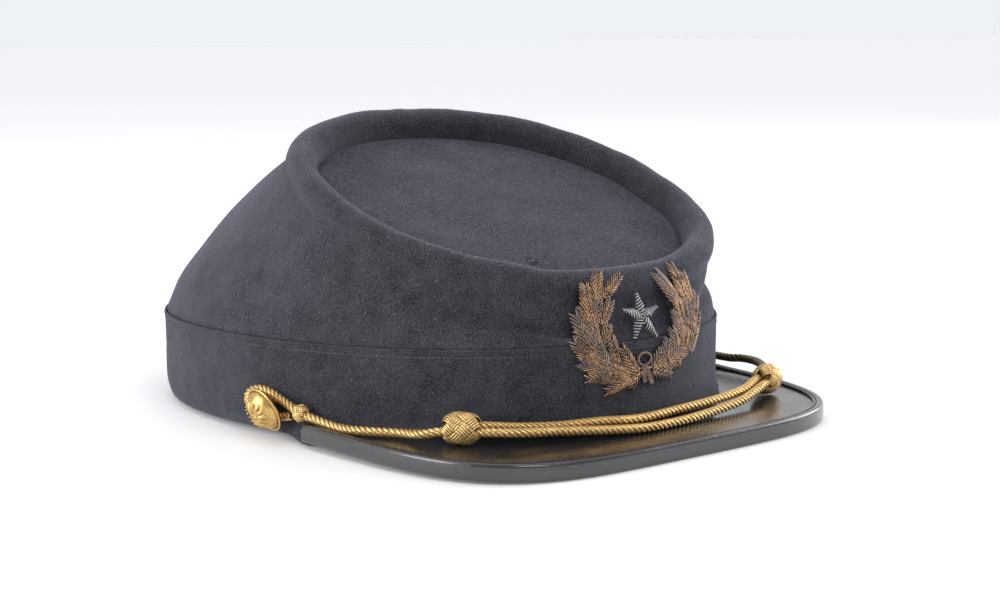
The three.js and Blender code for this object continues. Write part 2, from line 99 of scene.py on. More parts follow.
# The leather peak
PEAK_REACH = 0.1225
PEAK_HALF_WIDTH = 0.0801
PEAK_POWER = 4.3
PEAK_REAR_Y = -0.0406
PEAK_REAR_DEGREES = 69
PEAK_TAPER = 0.09
PEAK_CORNER_LIFT = 0.0007
PLATE_FLOOR = 0.0013
PLATE_TOP = 0.0038
LACQUER_TOP = PLATE_TOP + 0.0004
PLATE_INSET = 0.0012
PEAK_GAP = 0.00015
BINDING_TOP = 0.0051
BINDING_WIDTH = 0.003
BINDING_STITCH_INSET = 0.0022
BINDING_STITCH_PITCH = 0.0013
BINDING_STITCH_WIDTH = 0.0003

# Buttons
BUTTON_RADIUS = 0.0072
BUTTON_STANDOFF = 0.0049
BUTTON_DOME = 0.0042
BUTTON_RIM = 0.0009
BUTTON_ANGLE = math.radians(75.7)
BUTTON_HEIGHT = 0.0118
BUTTON_DROOP = math.radians(23)
BUTTON_TURN_BACK = math.radians(14)
SHANK_RADIUS = 0.001
DOME_SHARE = 0.87
RIM_BEAD = 0.00035
RELIEF_HEIGHT = 0.0009

# Cord, and the knots on it
CORD_DIAMETER = 0.0025
# Each cord's route in millimetres: the loop round its button, then the run across the front
CORD_LOOP = (
    (78.3, -33.3, 8.2), (79.2, -29.1, 7.5), (79.9, -25.0, 7.0), (80.7, -20.5, 6.9),
    (81.5, -16.6, 8.4), (82.0, -14.9, 11.0), (81.9, -16.4, 13.4), (81.2, -20.0, 14.6),
    (80.3, -24.4, 14.2), (79.5, -29.2, 12.6), (78.9, -34.2, 11.0),
)
CORD_ROUTE_RIGHT = tuple((-x, y, z) for x, y, z in CORD_LOOP) + (
    (-78.2, -37.9, 9.7), (-76.6, -41.7, 8.5), (-74.2, -50.0, 7.1), (-72.3, -59.6, 7.3),
    (-65.7, -69.8, 7.4), (-64.1, -78.1, 8.3), (-60.8, -82.5, 9.2), (-56.8, -86.4, 9.2),
    (-52.4, -90.8, 9.2), (-44.2, -96.8, 8.9), (-32.1, -99.5, 8.1), (-19.9, -102.5, 7.1),
    (-7.1, -105.3, 6.3), (2.5, -105.5, 6.1), (13.6, -104.8, 6.2), (26.2, -102.7, 6.5),
    (39.0, -100.8, 7.5), (54.9, -95.0, 9.5), (60.1, -92.6, 9.5), (62.7, -91.5, 9.5),
)
CORD_ROUTE_LEFT = CORD_LOOP + (
    (78.6, -37.9, 9.9), (79.6, -43.0, 9.6), (78.2, -56.5, 9.9), (79.1, -62.0, 10.3),
    (77.2, -69.8, 10.6), (71.8, -78.4, 10.8), (64.7, -87.6, 10.7), (59.1, -90.2, 10.7),
    (53.6, -92.6, 10.7), (43.6, -96.3, 9.3), (29.8, -99.2, 8.8), (12.0, -101.0, 8.5),
    (-4.6, -102.6, 8.4), (-17.5, -99.8, 8.9), (-29.0, -95.9, 8.6), (-39.9, -91.4, 9.0),
    (-50.6, -88.9, 10.4), (-55.0, -84.6, 10.4), (-57.0, -82.6, 10.4),
)
SLIDE_RIGHT = {"centre": (-55.9, -85.5, 10), "axis": (0.71, -0.7, 0), "radius": 5.1, "length": 12.4}
SLIDE_LEFT = {"centre": (59.6, -91.4, 10.1), "axis": (0.91, 0.41, 0), "radius": 5.1, "length": 12.0}
KEEPER_RIGHT = {"centre": (-78.2, -37.9, 9.7), "axis": (0.24, -0.9, -0.36), "radius": 3.1, "length": 5.6}
KEEPER_LEFT = {"centre": (78.6, -37.9, 9.9), "axis": (0.08, -0.98, -0.16), "radius": 3.1, "length": 5.6}

# The embroidered leaves, from the lowest up: root, tip and width in millimetres, sideways
# from the middle of the front and up from the band's seam
LEAVES = (
    (-6.2, -10.1, -14.7, -5.4, 3.0), (-7.9, -9.5, -20.9, -9.4, 2.8), (-12.8, -8.2, -22.7, -4.7, 3.0),
    (-4.5, -10.0, -14.4, -13.8, 3.0), (-3.1, -8.7, -6.2, -13.5, 2.4), (-4.1, -9.2, -9.5, -1.0, 3.0),
    (-17.2, -6.3, -24.2, 1.4, 3.2), (-11.2, -5.5, -12.4, 1.6, 3.0), (-14.1, -6.6, -17.1, 0.9, 3.1),
    (-19.6, 0.1, -23.6, 7.9, 3.3), (-15.3, -0.5, -12.6, 4.6, 2.9), (-17.5, -0.3, -17.9, 5.6, 3.2),
    (-15.2, 4.3, -9.8, 10.9, 3.0), (-19.0, 5.2, -18.8, 16.2, 4.0), (-17.7, 4.7, -14.4, 11.2, 3.0),
    (-12.9, 11.4, -4.1, 18.8, 3.3), (-16.0, 10.8, -12.6, 20.7, 3.9),
    (0.6, -9.3, 8.9, -11.9, 2.6), (1.6, -8.2, 13.1, -8.1, 3.0), (0.9, -8.4, 5.0, -3.7, 3.0),
    (6.7, -7.5, 14.1, -3.8, 3.2), (5.4, -7.8, 7.5, -0.8, 3.3), (11.0, -7.2, 20.5, -3.2, 3.2),
    (17.3, -6.0, 22.1, 1.3, 4.2), (11.7, -6.6, 9.9, 1.6, 3.6), (13.6, -7.2, 16.1, 1.0, 4.0),
    (20.0, -0.5, 25.6, 4.6, 3.6), (14.1, -1.1, 13.1, 5.6, 4.0), (17.8, 1.0, 20.7, 7.7, 4.2),
    (20.5, 1.9, 26.5, 8.7, 3.8), (15.2, 1.5, 15.3, 9.2, 4.2), (21.8, 6.5, 22.4, 16.4, 4.4),
    (18.6, 8.2, 17.9, 20.2, 4.2), (15.4, 7.2, 9.2, 18.2, 4.6),
)
LEAF_FULLNESS = 1.18
LEAF_SPACING = 2.2
INNER_LEAF_LENGTH = 7.0
INNER_LEAF_WIDTH = 4.2
INNER_LEAF_LEAN = 0.42
# The middle of each branch, under its leaves
BRANCHES = (
    ((-6.0, -9.3), (-11.5, -7.6), (-16.5, -4.0), (-18.6, 1.5), (-17.8, 8.0), (-15.4, 13.0)),
    ((2.5, -8.6), (8.5, -7.2), (14.0, -3.8), (17.6, 1.0), (19.2, 7.0), (18.2, 12.0)),
)
BOW = (-1.7, -5.4)
BOW_RADIUS = 1.8
BOW_WIRE = 0.52
BOW_TAILS = (((-1.9, -7.4), (-1.9, -9.8), (-1.4, -12.2)), ((-1.2, -7.4), (-0.2, -10.2), (0.9, -13.0)))
STAR_CENTRE = (-0.6, 5.6)
STAR_RADIUS = 6.7
STAR_WAIST = 0.36

# The camera stands low at the wearer's right front, as it does in the photograph
CAMERA_AZIMUTH = math.radians(-38.30)
CAMERA_ELEVATION = math.radians(8.29)
CAMERA_ROLL = math.radians(-0.54)
CAMERA_DISTANCE = 0.59921
CAMERA_AIM = (0.01981, 0.03218)
CAMERA_LENS = 64.71

MM = 0.001
SEED = 7


class KepiSizes(bpy.types.PropertyGroup):
    """Sizes of the finish that a maker would change"""
    stitch_pitch: FloatProperty(
        name="Stitch Pitch", description="From one band stitch to the next",
        default=0.00145, min=0.0008, max=0.004, unit="LENGTH")
    stitch_width: FloatProperty(
        name="Stitch Width", description="Thickness of the sewing thread",
        default=0.00034, min=0.0001, max=0.001, unit="LENGTH")
    cord_lay: FloatProperty(
        name="Cord Lay", description="Length of one full turn of the cord's strands",
        default=0.007, min=0.002, max=0.02, unit="LENGTH")
    cord_strands: IntProperty(
        name="Cord Strands", description="Strands twisted into the cord", default=4, min=2, max=4)
    knot_wires: IntProperty(
        name="Knot Wires", description="Wires side by side in a strand of a slide knot",
        default=5, min=2, max=8)
    bullion_width: FloatProperty(
        name="Bullion Width", description="Thickness of the coiled wire of the embroidery",
        default=0.00056, min=0.0003, max=0.001, unit="LENGTH")
    lint_count: IntProperty(
        name="Lint Count", description="Pale fibres that lie on the cloth", default=4200, min=0, max=8000)
    nap_scale: FloatProperty(
        name="Nap Scale", description="Size of the mottling of the fulled cloth",
        default=0.00045, min=0.0002, max=0.004, unit="LENGTH")


class KepiColours(bpy.types.PropertyGroup):
    """Colours of the finish that a maker would change"""
    cloth: FloatVectorProperty(
        name="Cloth", description="Dark wool of the crown and band", subtype="COLOR",
        size=4, min=0, max=1, default=(0.0085, 0.0083, 0.0112, 1))
    cloth_faded: FloatVectorProperty(
        name="Faded Cloth", description="Wool where it is rubbed or dusty", subtype="COLOR",
        size=4, min=0, max=1, default=(0.071, 0.070, 0.083, 1))
    lint: FloatVectorProperty(
        name="Lint", description="Pale fibres on the wool", subtype="COLOR",
        size=4, min=0, max=1, default=(0.42, 0.40, 0.36, 1))
    leather: FloatVectorProperty(
        name="Leather", description="Lacquered leather of the peak", subtype="COLOR",
        size=4, min=0, max=1, default=(0.020, 0.0195, 0.021, 1))
    gold: FloatVectorProperty(
        name="Gold", description="Bright gold wire and gilding", subtype="COLOR",
        size=4, min=0, max=1, default=(0.72, 0.47, 0.17, 1))
    gold_thread: FloatVectorProperty(
        name="Gold Thread", description="Pale gold wire of the cord and its knots", subtype="COLOR",
        size=4, min=0, max=1, default=(0.90, 0.59, 0.23, 1))
    # Real tarnish, and also the painted shade in the grooves of the cord and its knots and in the hollows
    # of the buttons
    tarnish: FloatVectorProperty(
        name="Tarnish", description="Brown tarnish in the grooves of the gold", subtype="COLOR",
        size=4, min=0, max=1, default=(0.12, 0.052, 0.016, 1))
    silver: FloatVectorProperty(
        name="Silver", description="Dulled silver wire", subtype="COLOR",
        size=4, min=0, max=1, default=(0.56, 0.55, 0.54, 1))


def sizes():
    return bpy.context.scene.kepi_sizes


def colours():
    return bpy.context.scene.kepi_colours


# Curves and surfaces of the cap. Every function takes and gives NumPy arrays, in metres,
# with the middle of the band's oval at x = 0, y = 0

def rounded(value, power):
    return np.sign(value) * np.abs(value) ** (2 / power)


def points(x, y, z):
    return np.stack(np.broadcast_arrays(x, y, z), axis=-1)


def unit(vectors):
    return vectors / np.linalg.norm(vectors, axis=-1, keepdims=True)


def dot(a, b):
    return np.sum(a * b, axis=-1, keepdims=True)


def smooth_step(low, high, value):
    share = np.clip((value - low) / (high - low), 0, 1)
    return share * share * (3 - 2 * share)


def waves(places, length, seed, count=7):
    """Soft even unevenness between -1 and 1 whose waves are about length long."""
    random = np.random.default_rng(seed)
    directions = unit(random.normal(size=(count, 3))) * random.uniform(0.6, 1.5, (count, 1))
    turns = random.uniform(0, 2 * np.pi, count)
    angles = places @ (directions.T * (2 * np.pi / length)) + turns
    return np.sin(angles).sum(axis=-1) / math.sqrt(count) / 1.4


# The height, length and seed of each of the soft waves of a surface
SIDE_WAVES = ((0.00028, 0.034, 3), (0.00012, 0.013, 4))
ROLL_WAVES = ((0.00022, 0.03, 5), (0.00008, 0.011, 6))
BAND_WAVES = ((0.00018, 0.03, 12), (0.00008, 0.011, 13))
TOP_WAVES = ((0.00022, 0.03, 9),)
LEATHER_WAVES = ((0.00013, 0.026, 31),)
BINDING_WAVES = ((0.00007, 0.02, 33),)


def unevenness(places, rows, share=1.0):
    return sum(height * share * waves(places, length, seed) for height, length, seed in rows)


def band_lift(y):
    return BAND_FRONT_LIFT * (BAND_HALF_LENGTH - y) / (2 * BAND_HALF_LENGTH)


def band_point(angle, height, offset=0.0):
    """Angle 0 is the front, and angles grow towards the wearer's left."""
    y = -(BAND_HALF_LENGTH + offset) * rounded(np.cos(angle), BAND_POWER)
    narrowing = 1 + BAND_NARROWING * y / BAND_HALF_LENGTH
    x = (BAND_HALF_WIDTH + offset) * rounded(np.sin(angle), BAND_POWER) * narrowing
    return points(x, y, height + band_lift(y))


def band_outward(angle):
    outward = band_point(angle, 0, MM) - band_point(angle, 0, 0)
    outward[..., 2] = 0
    return unit(outward)


def rim_point(angle, outward=0.0, up=0.0):
    back = -(RIM_HALF_LENGTH + outward) * rounded(np.cos(angle), RIM_POWER)
    side = (RIM_HALF_WIDTH + outward) * rounded(np.sin(angle), RIM_POWER)
    y = back * math.cos(RIM_DIP) - up * math.sin(RIM_DIP)
    z = back * math.sin(RIM_DIP) + up * math.cos(RIM_DIP)
    return points(side, y, z) + RIM_CENTRE


def top_plane():
    """The middle of the sunken top, at the rim's level, and the way it faces."""
    return (rim_point(np.array(0.0), -RIM_HALF_LENGTH, 0.0),
            np.array((0, -math.sin(RIM_DIP), math.cos(RIM_DIP))))


# Soft folds of the crown's side: from one angle and height to another, depth and half width
CROWN_FOLDS = (
    {"start": (-58, 0.95), "end": (-16, 0.20), "depth": 0.0020, "width": 0.11},
    {"start": (-50, 0.55), "end": (-30, 0.20), "depth": -0.0008, "width": 0.12},
    {"start": (-97, 1.00), "end": (-88, 0.45), "depth": 0.0009, "width": 0.12},
    {"start": (56, 0.90), "end": (24, 0.30), "depth": 0.0012, "width": 0.14},
    {"start": (100, 0.95), "end": (112, 0.30), "depth": 0.0008, "width": 0.14},
    {"start": (66, 0.50), "end": (34, 0.40), "depth": 0.0018, "width": 0.10},
    {"start": (64, 0.14), "end": (48, 0.12), "depth": -0.0009, "width": 0.12},
    {"start": (-142, 0.10), "end": (-118, 0.20), "depth": -0.0020, "width": 0.17},
)
FOLD_DEGREES_PER_HEIGHT = 60


def fold_depth(angle, height):
    x = np.degrees(angle) / FOLD_DEGREES_PER_HEIGHT
    depth = 0
    for fold in CROWN_FOLDS:
        x0, h0 = fold["start"][0] / FOLD_DEGREES_PER_HEIGHT, fold["start"][1]
        dx, dh = fold["end"][0] / FOLD_DEGREES_PER_HEIGHT - x0, fold["end"][1] - h0
        along = ((x - x0) * dx + (height - h0) * dh) / (dx * dx + dh * dh)
        inside = np.clip(along, 0, 1)
        distance = np.hypot(x - x0 - dx * inside, height - h0 - dh * inside)
        depth = depth + fold["depth"] * np.exp(-(distance / fold["width"]) ** 2)
    return depth


def bulge(angle):
    backward = -np.cos(angle)
    end = np.where(backward > 0, BULGE_BACK, BULGE_FRONT)
    return end * backward ** 2


SEAM_WIDTH = 0.0006
SEAM_DEPTH = 0.0001


def seam_relief(distance):
    """A pressed seam: a fine groove between two low ridges."""
    groove = -SEAM_DEPTH * np.exp(-(distance / (0.28 * SEAM_WIDTH)) ** 2)
    ridge = 0.35 * SEAM_DEPTH * np.exp(-((np.abs(distance) - SEAM_WIDTH) / (0.8 * SEAM_WIDTH)) ** 2)
    return groove + ridge


POINTS_PER_SPAN = 14
GROOVE_OUTWARD = 0.0033
GROOVE_UP = -0.0024
SEAM_STEP_IN = 0.0006
SEAM_GAP = 0.0003
BAND_ROUND_RADIUS = 0.085
RIM_ROUND_RADIUS = 0.060
ROLL_DENT_ANGLE = -0.38
ROLL_DENT_DEPTH = 0.0009
BACK_SEAM_HUMP = 0.00022
# Where the fold under the roll is pressed in, as angles from the front, and how far it opens
PRESSED_RIGHT = (-1.9, -1.5)
PRESSED_LEFT = (0.45, 0.95)
OPEN_OUTWARD = 0.0011
OPEN_DOWN = 0.0013


def seam_distance(angle, radius):
    """How far sideways a point is from the nearer of the front and back seams of the crown."""
    side = np.sin(angle) * radius
    return np.where(np.abs(np.sin(angle)) < 0.3, side, radius)


def side_point(angle, height, inward=0.0, detail=True):
    """The crown's side between the seam on the band, height 0, and the groove under the roll, 1."""
    seam = band_point(angle, BAND_HEIGHT + SEAM_GAP, -SEAM_STEP_IN)
    pressed = 1 - smooth_step(*PRESSED_RIGHT, angle) * (1 - smooth_step(*PRESSED_LEFT, angle))
    filled = 1 - pressed
    groove = rim_point(angle, GROOVE_OUTWARD + OPEN_OUTWARD * filled, GROOVE_UP - OPEN_DOWN * filled)
    rise = groove - seam
    direction = unit(rise)
    level = band_outward(angle)
    outward = unit(level - dot(level, direction) * direction)
    share = np.clip(1 - height / 0.2, 0, 1)[..., None]
    outward = unit(outward * (1 - share) + level * share)
    fade = np.sin(np.pi * np.clip(height, 0, 1))
    low = np.sin(np.pi * np.clip(height, 0, 1) ** 0.92)
    swell = bulge(angle) * low - fold_depth(angle, height) * fade
    place = seam + rise * height[..., None] + outward * (swell - inward)[..., None]
    if detail:
        bumps = unevenness(place, SIDE_WAVES, fade)
        place = place + outward * (bumps + seam_relief(seam_distance(angle, BAND_ROUND_RADIUS)))[..., None]
    return place


def roll_point(angle, turn, radius, detail=True):
    place = rim_point(angle, radius * np.cos(turn), radius * np.sin(turn))
    if detail:
        middle = rim_point(angle)
        outward = unit(place - middle)
        bumps = unevenness(place, ROLL_WAVES)
        dented = np.exp(-((angle - ROLL_DENT_ANGLE) / 0.12) ** 2)
        dip = -ROLL_DENT_DEPTH * dented * np.clip(np.sin(turn), 0, 1)
        hump = BACK_SEAM_HUMP * np.exp(-((np.abs(angle) - np.pi) / 0.03) ** 2)
        relief = seam_relief(seam_distance(angle, RIM_ROUND_RADIUS))
        place = place + outward * (bumps + dip + hump + relief)[..., None]
    return place


def hem_pull(angle, height):
    behind_peak = np.clip((np.abs(np.degrees(angle)) - HEM_FROM_DEGREES) / HEM_BLEND_DEGREES, 0, 1)
    low = np.clip(1 - height / HEM_HEIGHT, 0, 1)
    return HEM_PULL * behind_peak * low * low


def hem_flare(angle, height):
    """How much the hem stands out, between 0 and 1, where it lies under an end of the peak."""
    aside = (np.abs(np.degrees(angle)) - FLARE_DEGREES) / FLARE_HALF_DEGREES
    return np.exp(-aside ** 2) * smooth_step(FLARE_HEIGHT, 0, height)


def front_point(along, up, offset):
    """The front of the cap under the embroidery, from the band over the crown to the crest."""
    angle = along / (BAND_HALF_WIDTH * 0.98)
    outward = band_outward(angle)
    seam = band_point(angle, BAND_HEIGHT)
    shoulder = rim_point(angle, ROLL_RADIUS + 0.0015, 0)
    crest = rim_point(angle, 0, ROLL_RADIUS)
    length = np.linalg.norm(shoulder - seam, axis=-1) + np.linalg.norm(crest - shoulder, axis=-1)
    share = np.clip(up / length, 0, 1)[..., None]
    above = seam * (1 - share) ** 2 + shoulder * 2 * share * (1 - share) + crest * share ** 2
    upward = unit(crest - seam)
    facing = unit(outward - dot(outward, upward) * upward)
    facing = unit(facing * share + outward * (1 - share))
    below = band_point(angle, BAND_HEIGHT + np.minimum(up, 0))
    on_band = (up <= 0)[..., None]
    facing = np.where(on_band, outward, facing)
    return np.where(on_band, below, above) + facing * np.asarray(offset)[..., None], facing


def round_turns(count):
    """Even angles all the way round."""
    return np.linspace(0, 2 * np.pi, count, endpoint=False)


def across_axis(axis):
    """Two directions across an axis: level, and upward."""
    level = unit(np.cross(axis, (0.0, 0.0, 1.0)))
    return level, np.cross(level, axis)


def catmull_rom(route):
    """A smooth line through the route's points."""
    route = np.asarray(route, float)
    padded = np.vstack((2 * route[0] - route[1], route, 2 * route[-1] - route[-2]))
    share = np.linspace(0, 1, POINTS_PER_SPAN, endpoint=False)[:, None]
    line = []
    for a, b, c, d in zip(padded, padded[1:], padded[2:], padded[3:]):
        line.append(0.5 * (2 * b + (c - a) * share + (2 * a - 5 * b + 4 * c - d) * share ** 2
                           + (3 * b - a - 3 * c + d) * share ** 3))
    return np.vstack(line + [route[-1:]])


def run_lengths(line):
    """How far along the line each of its points is."""
    return np.concatenate(([0], np.cumsum(np.linalg.norm(np.diff(line, axis=0), axis=1))))


def sampled(at, lengths, line):
    """The line's points at the given lengths along it."""
    return np.stack([np.interp(at, lengths, column) for column in line.T], axis=1)


def resampled(line, step):
    """The line with points an even step apart, and its length."""
    lengths = run_lengths(line)
    total = lengths[-1]
    at = np.linspace(0, total, max(2, int(round(total / step)) + 1))
    return sampled(at, lengths, line), total


def tangents(line, closed=False):
    if closed:
        return unit(np.roll(line, -1, axis=0) - np.roll(line, 1, axis=0))
    return unit(np.gradient(line, axis=0))


def carried_frames(line):
    """Two directions across the line at each point, with no twist along it."""
    forward = tangents(line)
    start = np.cross(forward[0], (0.0, 0.0, 1.0))
    across = [start / np.linalg.norm(start)]
    for tangent in forward[1:]:
        carried = across[-1] - tangent * np.dot(across[-1], tangent)
        across.append(carried / np.linalg.norm(carried))
    across = np.array(across)
    return across, np.cross(forward, across)


class MeshMaker:
    """Collects closed surfaces and makes one object of them. Tone is a value between 0 and 1
    that each surface keeps for its colour, and turn and run place the fine wires round it."""

    def __init__(self):
        self.places, self.faces, self.tones, self.runs, self.total = [], [], [], [], 0

    def add_points(self, places, tone, run):
        start = self.total
        self.places.append(places)
        self.tones.append(np.broadcast_to(tone, len(places)))
        self.runs.append(np.broadcast_to(run, (len(places), 3)))
        self.total += len(places)
        return start

    def add_grid(self, grid, closed_rows, closed_columns, tone=0.5, run=None, caps=False):
        """Rows of points, each joined to the next, flat or as a tube with capped ends."""
        rows, columns = grid.shape[:2]
        run = np.zeros((rows * columns, 3)) if run is None else run.reshape(-1, 3)
        start = self.add_points(grid.reshape(-1, 3), tone, run)
        r = np.arange(rows if closed_rows else rows - 1)[:, None]
        c = np.arange(columns if closed_columns else columns - 1)[None, :]
        r1, c1 = (r + 1) % rows, (c + 1) % columns
        quads = np.stack((r * columns + c, r * columns + c1, r1 * columns + c1, r1 * columns + c), -1)
        self.faces.extend((quads.reshape(-1, 4) + start).tolist())
        if caps:
            last = start + (rows - 1) * columns
            self.faces.append(list(range(start + columns - 1, start - 1, -1)))
            self.faces.append(list(range(last, last + columns)))

    def add_tube(self, line, outward, width, height=None, sides=6, tone=0.5, closed=False):
        """A tube along a line. Outward is the direction that height is measured in."""
        forward = tangents(line, closed)
        outward = unit(outward - dot(outward, forward) * forward)
        across = np.cross(forward, outward)
        height = width if height is None else height
        width, height = (np.broadcast_to(v, len(line))[:, None, None] for v in (width, height))
        turn = round_turns(sides)[None, :, None]
        grid = (line[:, None] + across[:, None] * np.cos(turn) * width / 2
                + outward[:, None] * np.sin(turn) * height / 2)
        lengths = run_lengths(line)
        run = points(lengths[:, None], np.cos(turn[..., 0]), np.sin(turn[..., 0]))
        self.add_grid(grid, closed, True, tone, run, caps=not closed)

    def make(self, name, material):
        mesh = bpy.data.meshes.new(name)
        places = np.concatenate(self.places) + (0, CAP_CENTRE_Y, 0)
        mesh.from_pydata(places.tolist(), [], self.faces)
        mesh.attributes.new("tone", "FLOAT", "POINT").data.foreach_set(
            "value", np.concatenate(self.tones).astype(np.float32))
        mesh.attributes.new("run", "FLOAT_VECTOR", "POINT").data.foreach_set(
            "vector", np.concatenate(self.runs).astype(np.float32).ravel())
        mesh.polygons.foreach_set("use_smooth", [True] * len(mesh.polygons))
        outward_faces(mesh)
        mesh.materials.append(material)
        piece = bpy.data.objects.new(name, mesh)
        bpy.context.scene.collection.objects.link(piece)
        return piece


def outward_faces(mesh):
    """Turns each closed surface so that its faces point out of it."""
    shape = bmesh.new()
    shape.from_mesh(mesh)
    bmesh.ops.recalc_face_normals(shape, faces=shape.faces)
    shape.to_mesh(mesh)
    shape.free()


def settle(piece, slot, *nodes):
    """The piece rides with the cap and stands for the CAD nodes. Its slot is not used."""
    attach(piece, "root")
    if nodes:
        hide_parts(*nodes)
    return piece


def settle_grid(name, grid, material, slot, node, closed_rows=False):
    """One closed surface as a piece of its own."""
    maker = MeshMaker()
    maker.add_grid(grid, closed_rows, True, caps=not closed_rows)
    settle(maker.make(name, material), slot, node)


# Shader building

def add_node(tree, kind, inputs=None, **settings):
    """A node whose inputs are set to values or linked to other nodes' outputs."""
    node = tree.nodes.new(kind)
    for key, value in settings.items():
        setattr(node, key, value)
    for key, value in (inputs or {}).items():
        if isinstance(value, bpy.types.NodeSocket):
            tree.links.new(value, node.inputs[key])
        else:
            node.inputs[key].default_value = value
    return node


def maths(tree, operation, first, second=0.0, third=0.0):
    inputs = {0: first, 1: second}
    if operation == "MULTIPLY_ADD":
        inputs[2] = third
    return add_node(tree, "ShaderNodeMath", inputs, operation=operation).outputs[0]


def product(tree, first, second):
    return maths(tree, "MULTIPLY", first, second)


def ranged(tree, value, low, high, to_low=0.0, to_high=1.0):
    node = add_node(tree, "ShaderNodeMapRange", {
        "Value": value, "From Min": low, "From Max": high, "To Min": to_low, "To Max": to_high})
    return node.outputs["Result"]


def mixed(tree, factor, first, second):
    node = add_node(tree, "ShaderNodeMix", {0: factor, 6: first, 7: second}, data_type="RGBA")
    return node.outputs[2]


def noise(tree, place, scale, detail, roughness):
    node = add_node(tree, "ShaderNodeTexNoise", {
        "Vector": place, "Scale": scale, "Detail": detail, "Roughness": roughness})
    return node.outputs["Fac"]


def object_place(tree):
    return add_node(tree, "ShaderNodeTexCoord").outputs["Object"]


def new_group(name, inputs, outputs):
    """A shader node group with named sockets: name, kind and, for inputs, the default."""
    tree = bpy.data.node_groups.new(name, "ShaderNodeTree")
    for label, kind, default in inputs:
        socket = tree.interface.new_socket(label, in_out="INPUT", socket_type="NodeSocket" + kind)
        socket.default_value = default
    for label, kind in outputs:
        tree.interface.new_socket(label, in_out="OUTPUT", socket_type="NodeSocket" + kind)
    entry = tree.nodes.new("NodeGroupInput")
    end = tree.nodes.new("NodeGroupOutput")
    return tree, entry.outputs, end.inputs


def use_group(tree, group, inputs):
    return add_node(tree, "ShaderNodeGroup", inputs, node_tree=group).outputs


# How fine each pattern is, in cells or bands a metre
NAP_BROAD = 45
NAP_BLOTCHES = 210
FLECK_CELLS = 520
TWILL_BANDS = 420
WIRE_BLOTCHES = 150
WIRE_SPOTS = 1700
CRACK_CELLS = 520
CRACK_WOBBLES = 300
CRACK_PATCHES = 38
LACQUER_PATCHES = 130
LEATHER_GRAIN = 750
CRACK_WOBBLE = 0.0016


def felted_nap():
    """Mottled colour and short-fibred height of fulled wool."""
    if "Felted Nap" in bpy.data.node_groups:
        return bpy.data.node_groups["Felted Nap"]
    tree, given, out = new_group("Felted Nap", (
        ("Dark", "Color", (0.02, 0.02, 0.03, 1)), ("Pale", "Color", (0.06, 0.06, 0.07, 1)),
        ("Lint", "Color", (0.4, 0.4, 0.36, 1)), ("Scale", "Float", 1000.0),
        ("Rubbing", "Float", 0.3)), (("Color", "Color"), ("Height", "Float")))
    place = object_place(tree)
    fine = noise(tree, place, given["Scale"], 3, 0.65)
    broad = noise(tree, place, NAP_BROAD, 3, 0.55)
    blotch = noise(tree, place, NAP_BLOTCHES, 2, 0.5)
    mottle = maths(tree, "MULTIPLY_ADD", blotch, 0.5, product(tree, broad, 0.5))
    amount = maths(tree, "MULTIPLY_ADD", ranged(tree, fine, 0.38, 0.64), 0.72,
                   product(tree, ranged(tree, mottle, 0.35, 0.65), given["Rubbing"]))
    cloth = mixed(tree, maths(tree, "MINIMUM", amount, 1), given["Dark"], given["Pale"])
    cells = add_node(tree, "ShaderNodeTexVoronoi", {"Vector": place, "Scale": FLECK_CELLS})
    chosen = ranged(tree, add_node(tree, "ShaderNodeSeparateColor", {
        "Color": cells.outputs["Color"]}).outputs["Red"], 0.91, 0.92)
    fleck = ranged(tree, cells.outputs["Distance"], 0.13, 0.06)
    tree.links.new(mixed(tree, product(tree, product(tree, fleck, chosen), 0.4),
                         cloth, given["Lint"]), out["Color"])
    twill = add_node(tree, "ShaderNodeTexWave", {
        "Vector": place, "Scale": TWILL_BANDS, "Distortion": 2.0, "Detail": 2.0},
        bands_direction="DIAGONAL")
    height = maths(tree, "MULTIPLY_ADD", twill.outputs["Fac"], 0.12,
                   maths(tree, "MULTIPLY_ADD", fine, 1.0, product(tree, blotch, 0.3)))
    tree.links.new(height, out["Height"])
    return tree


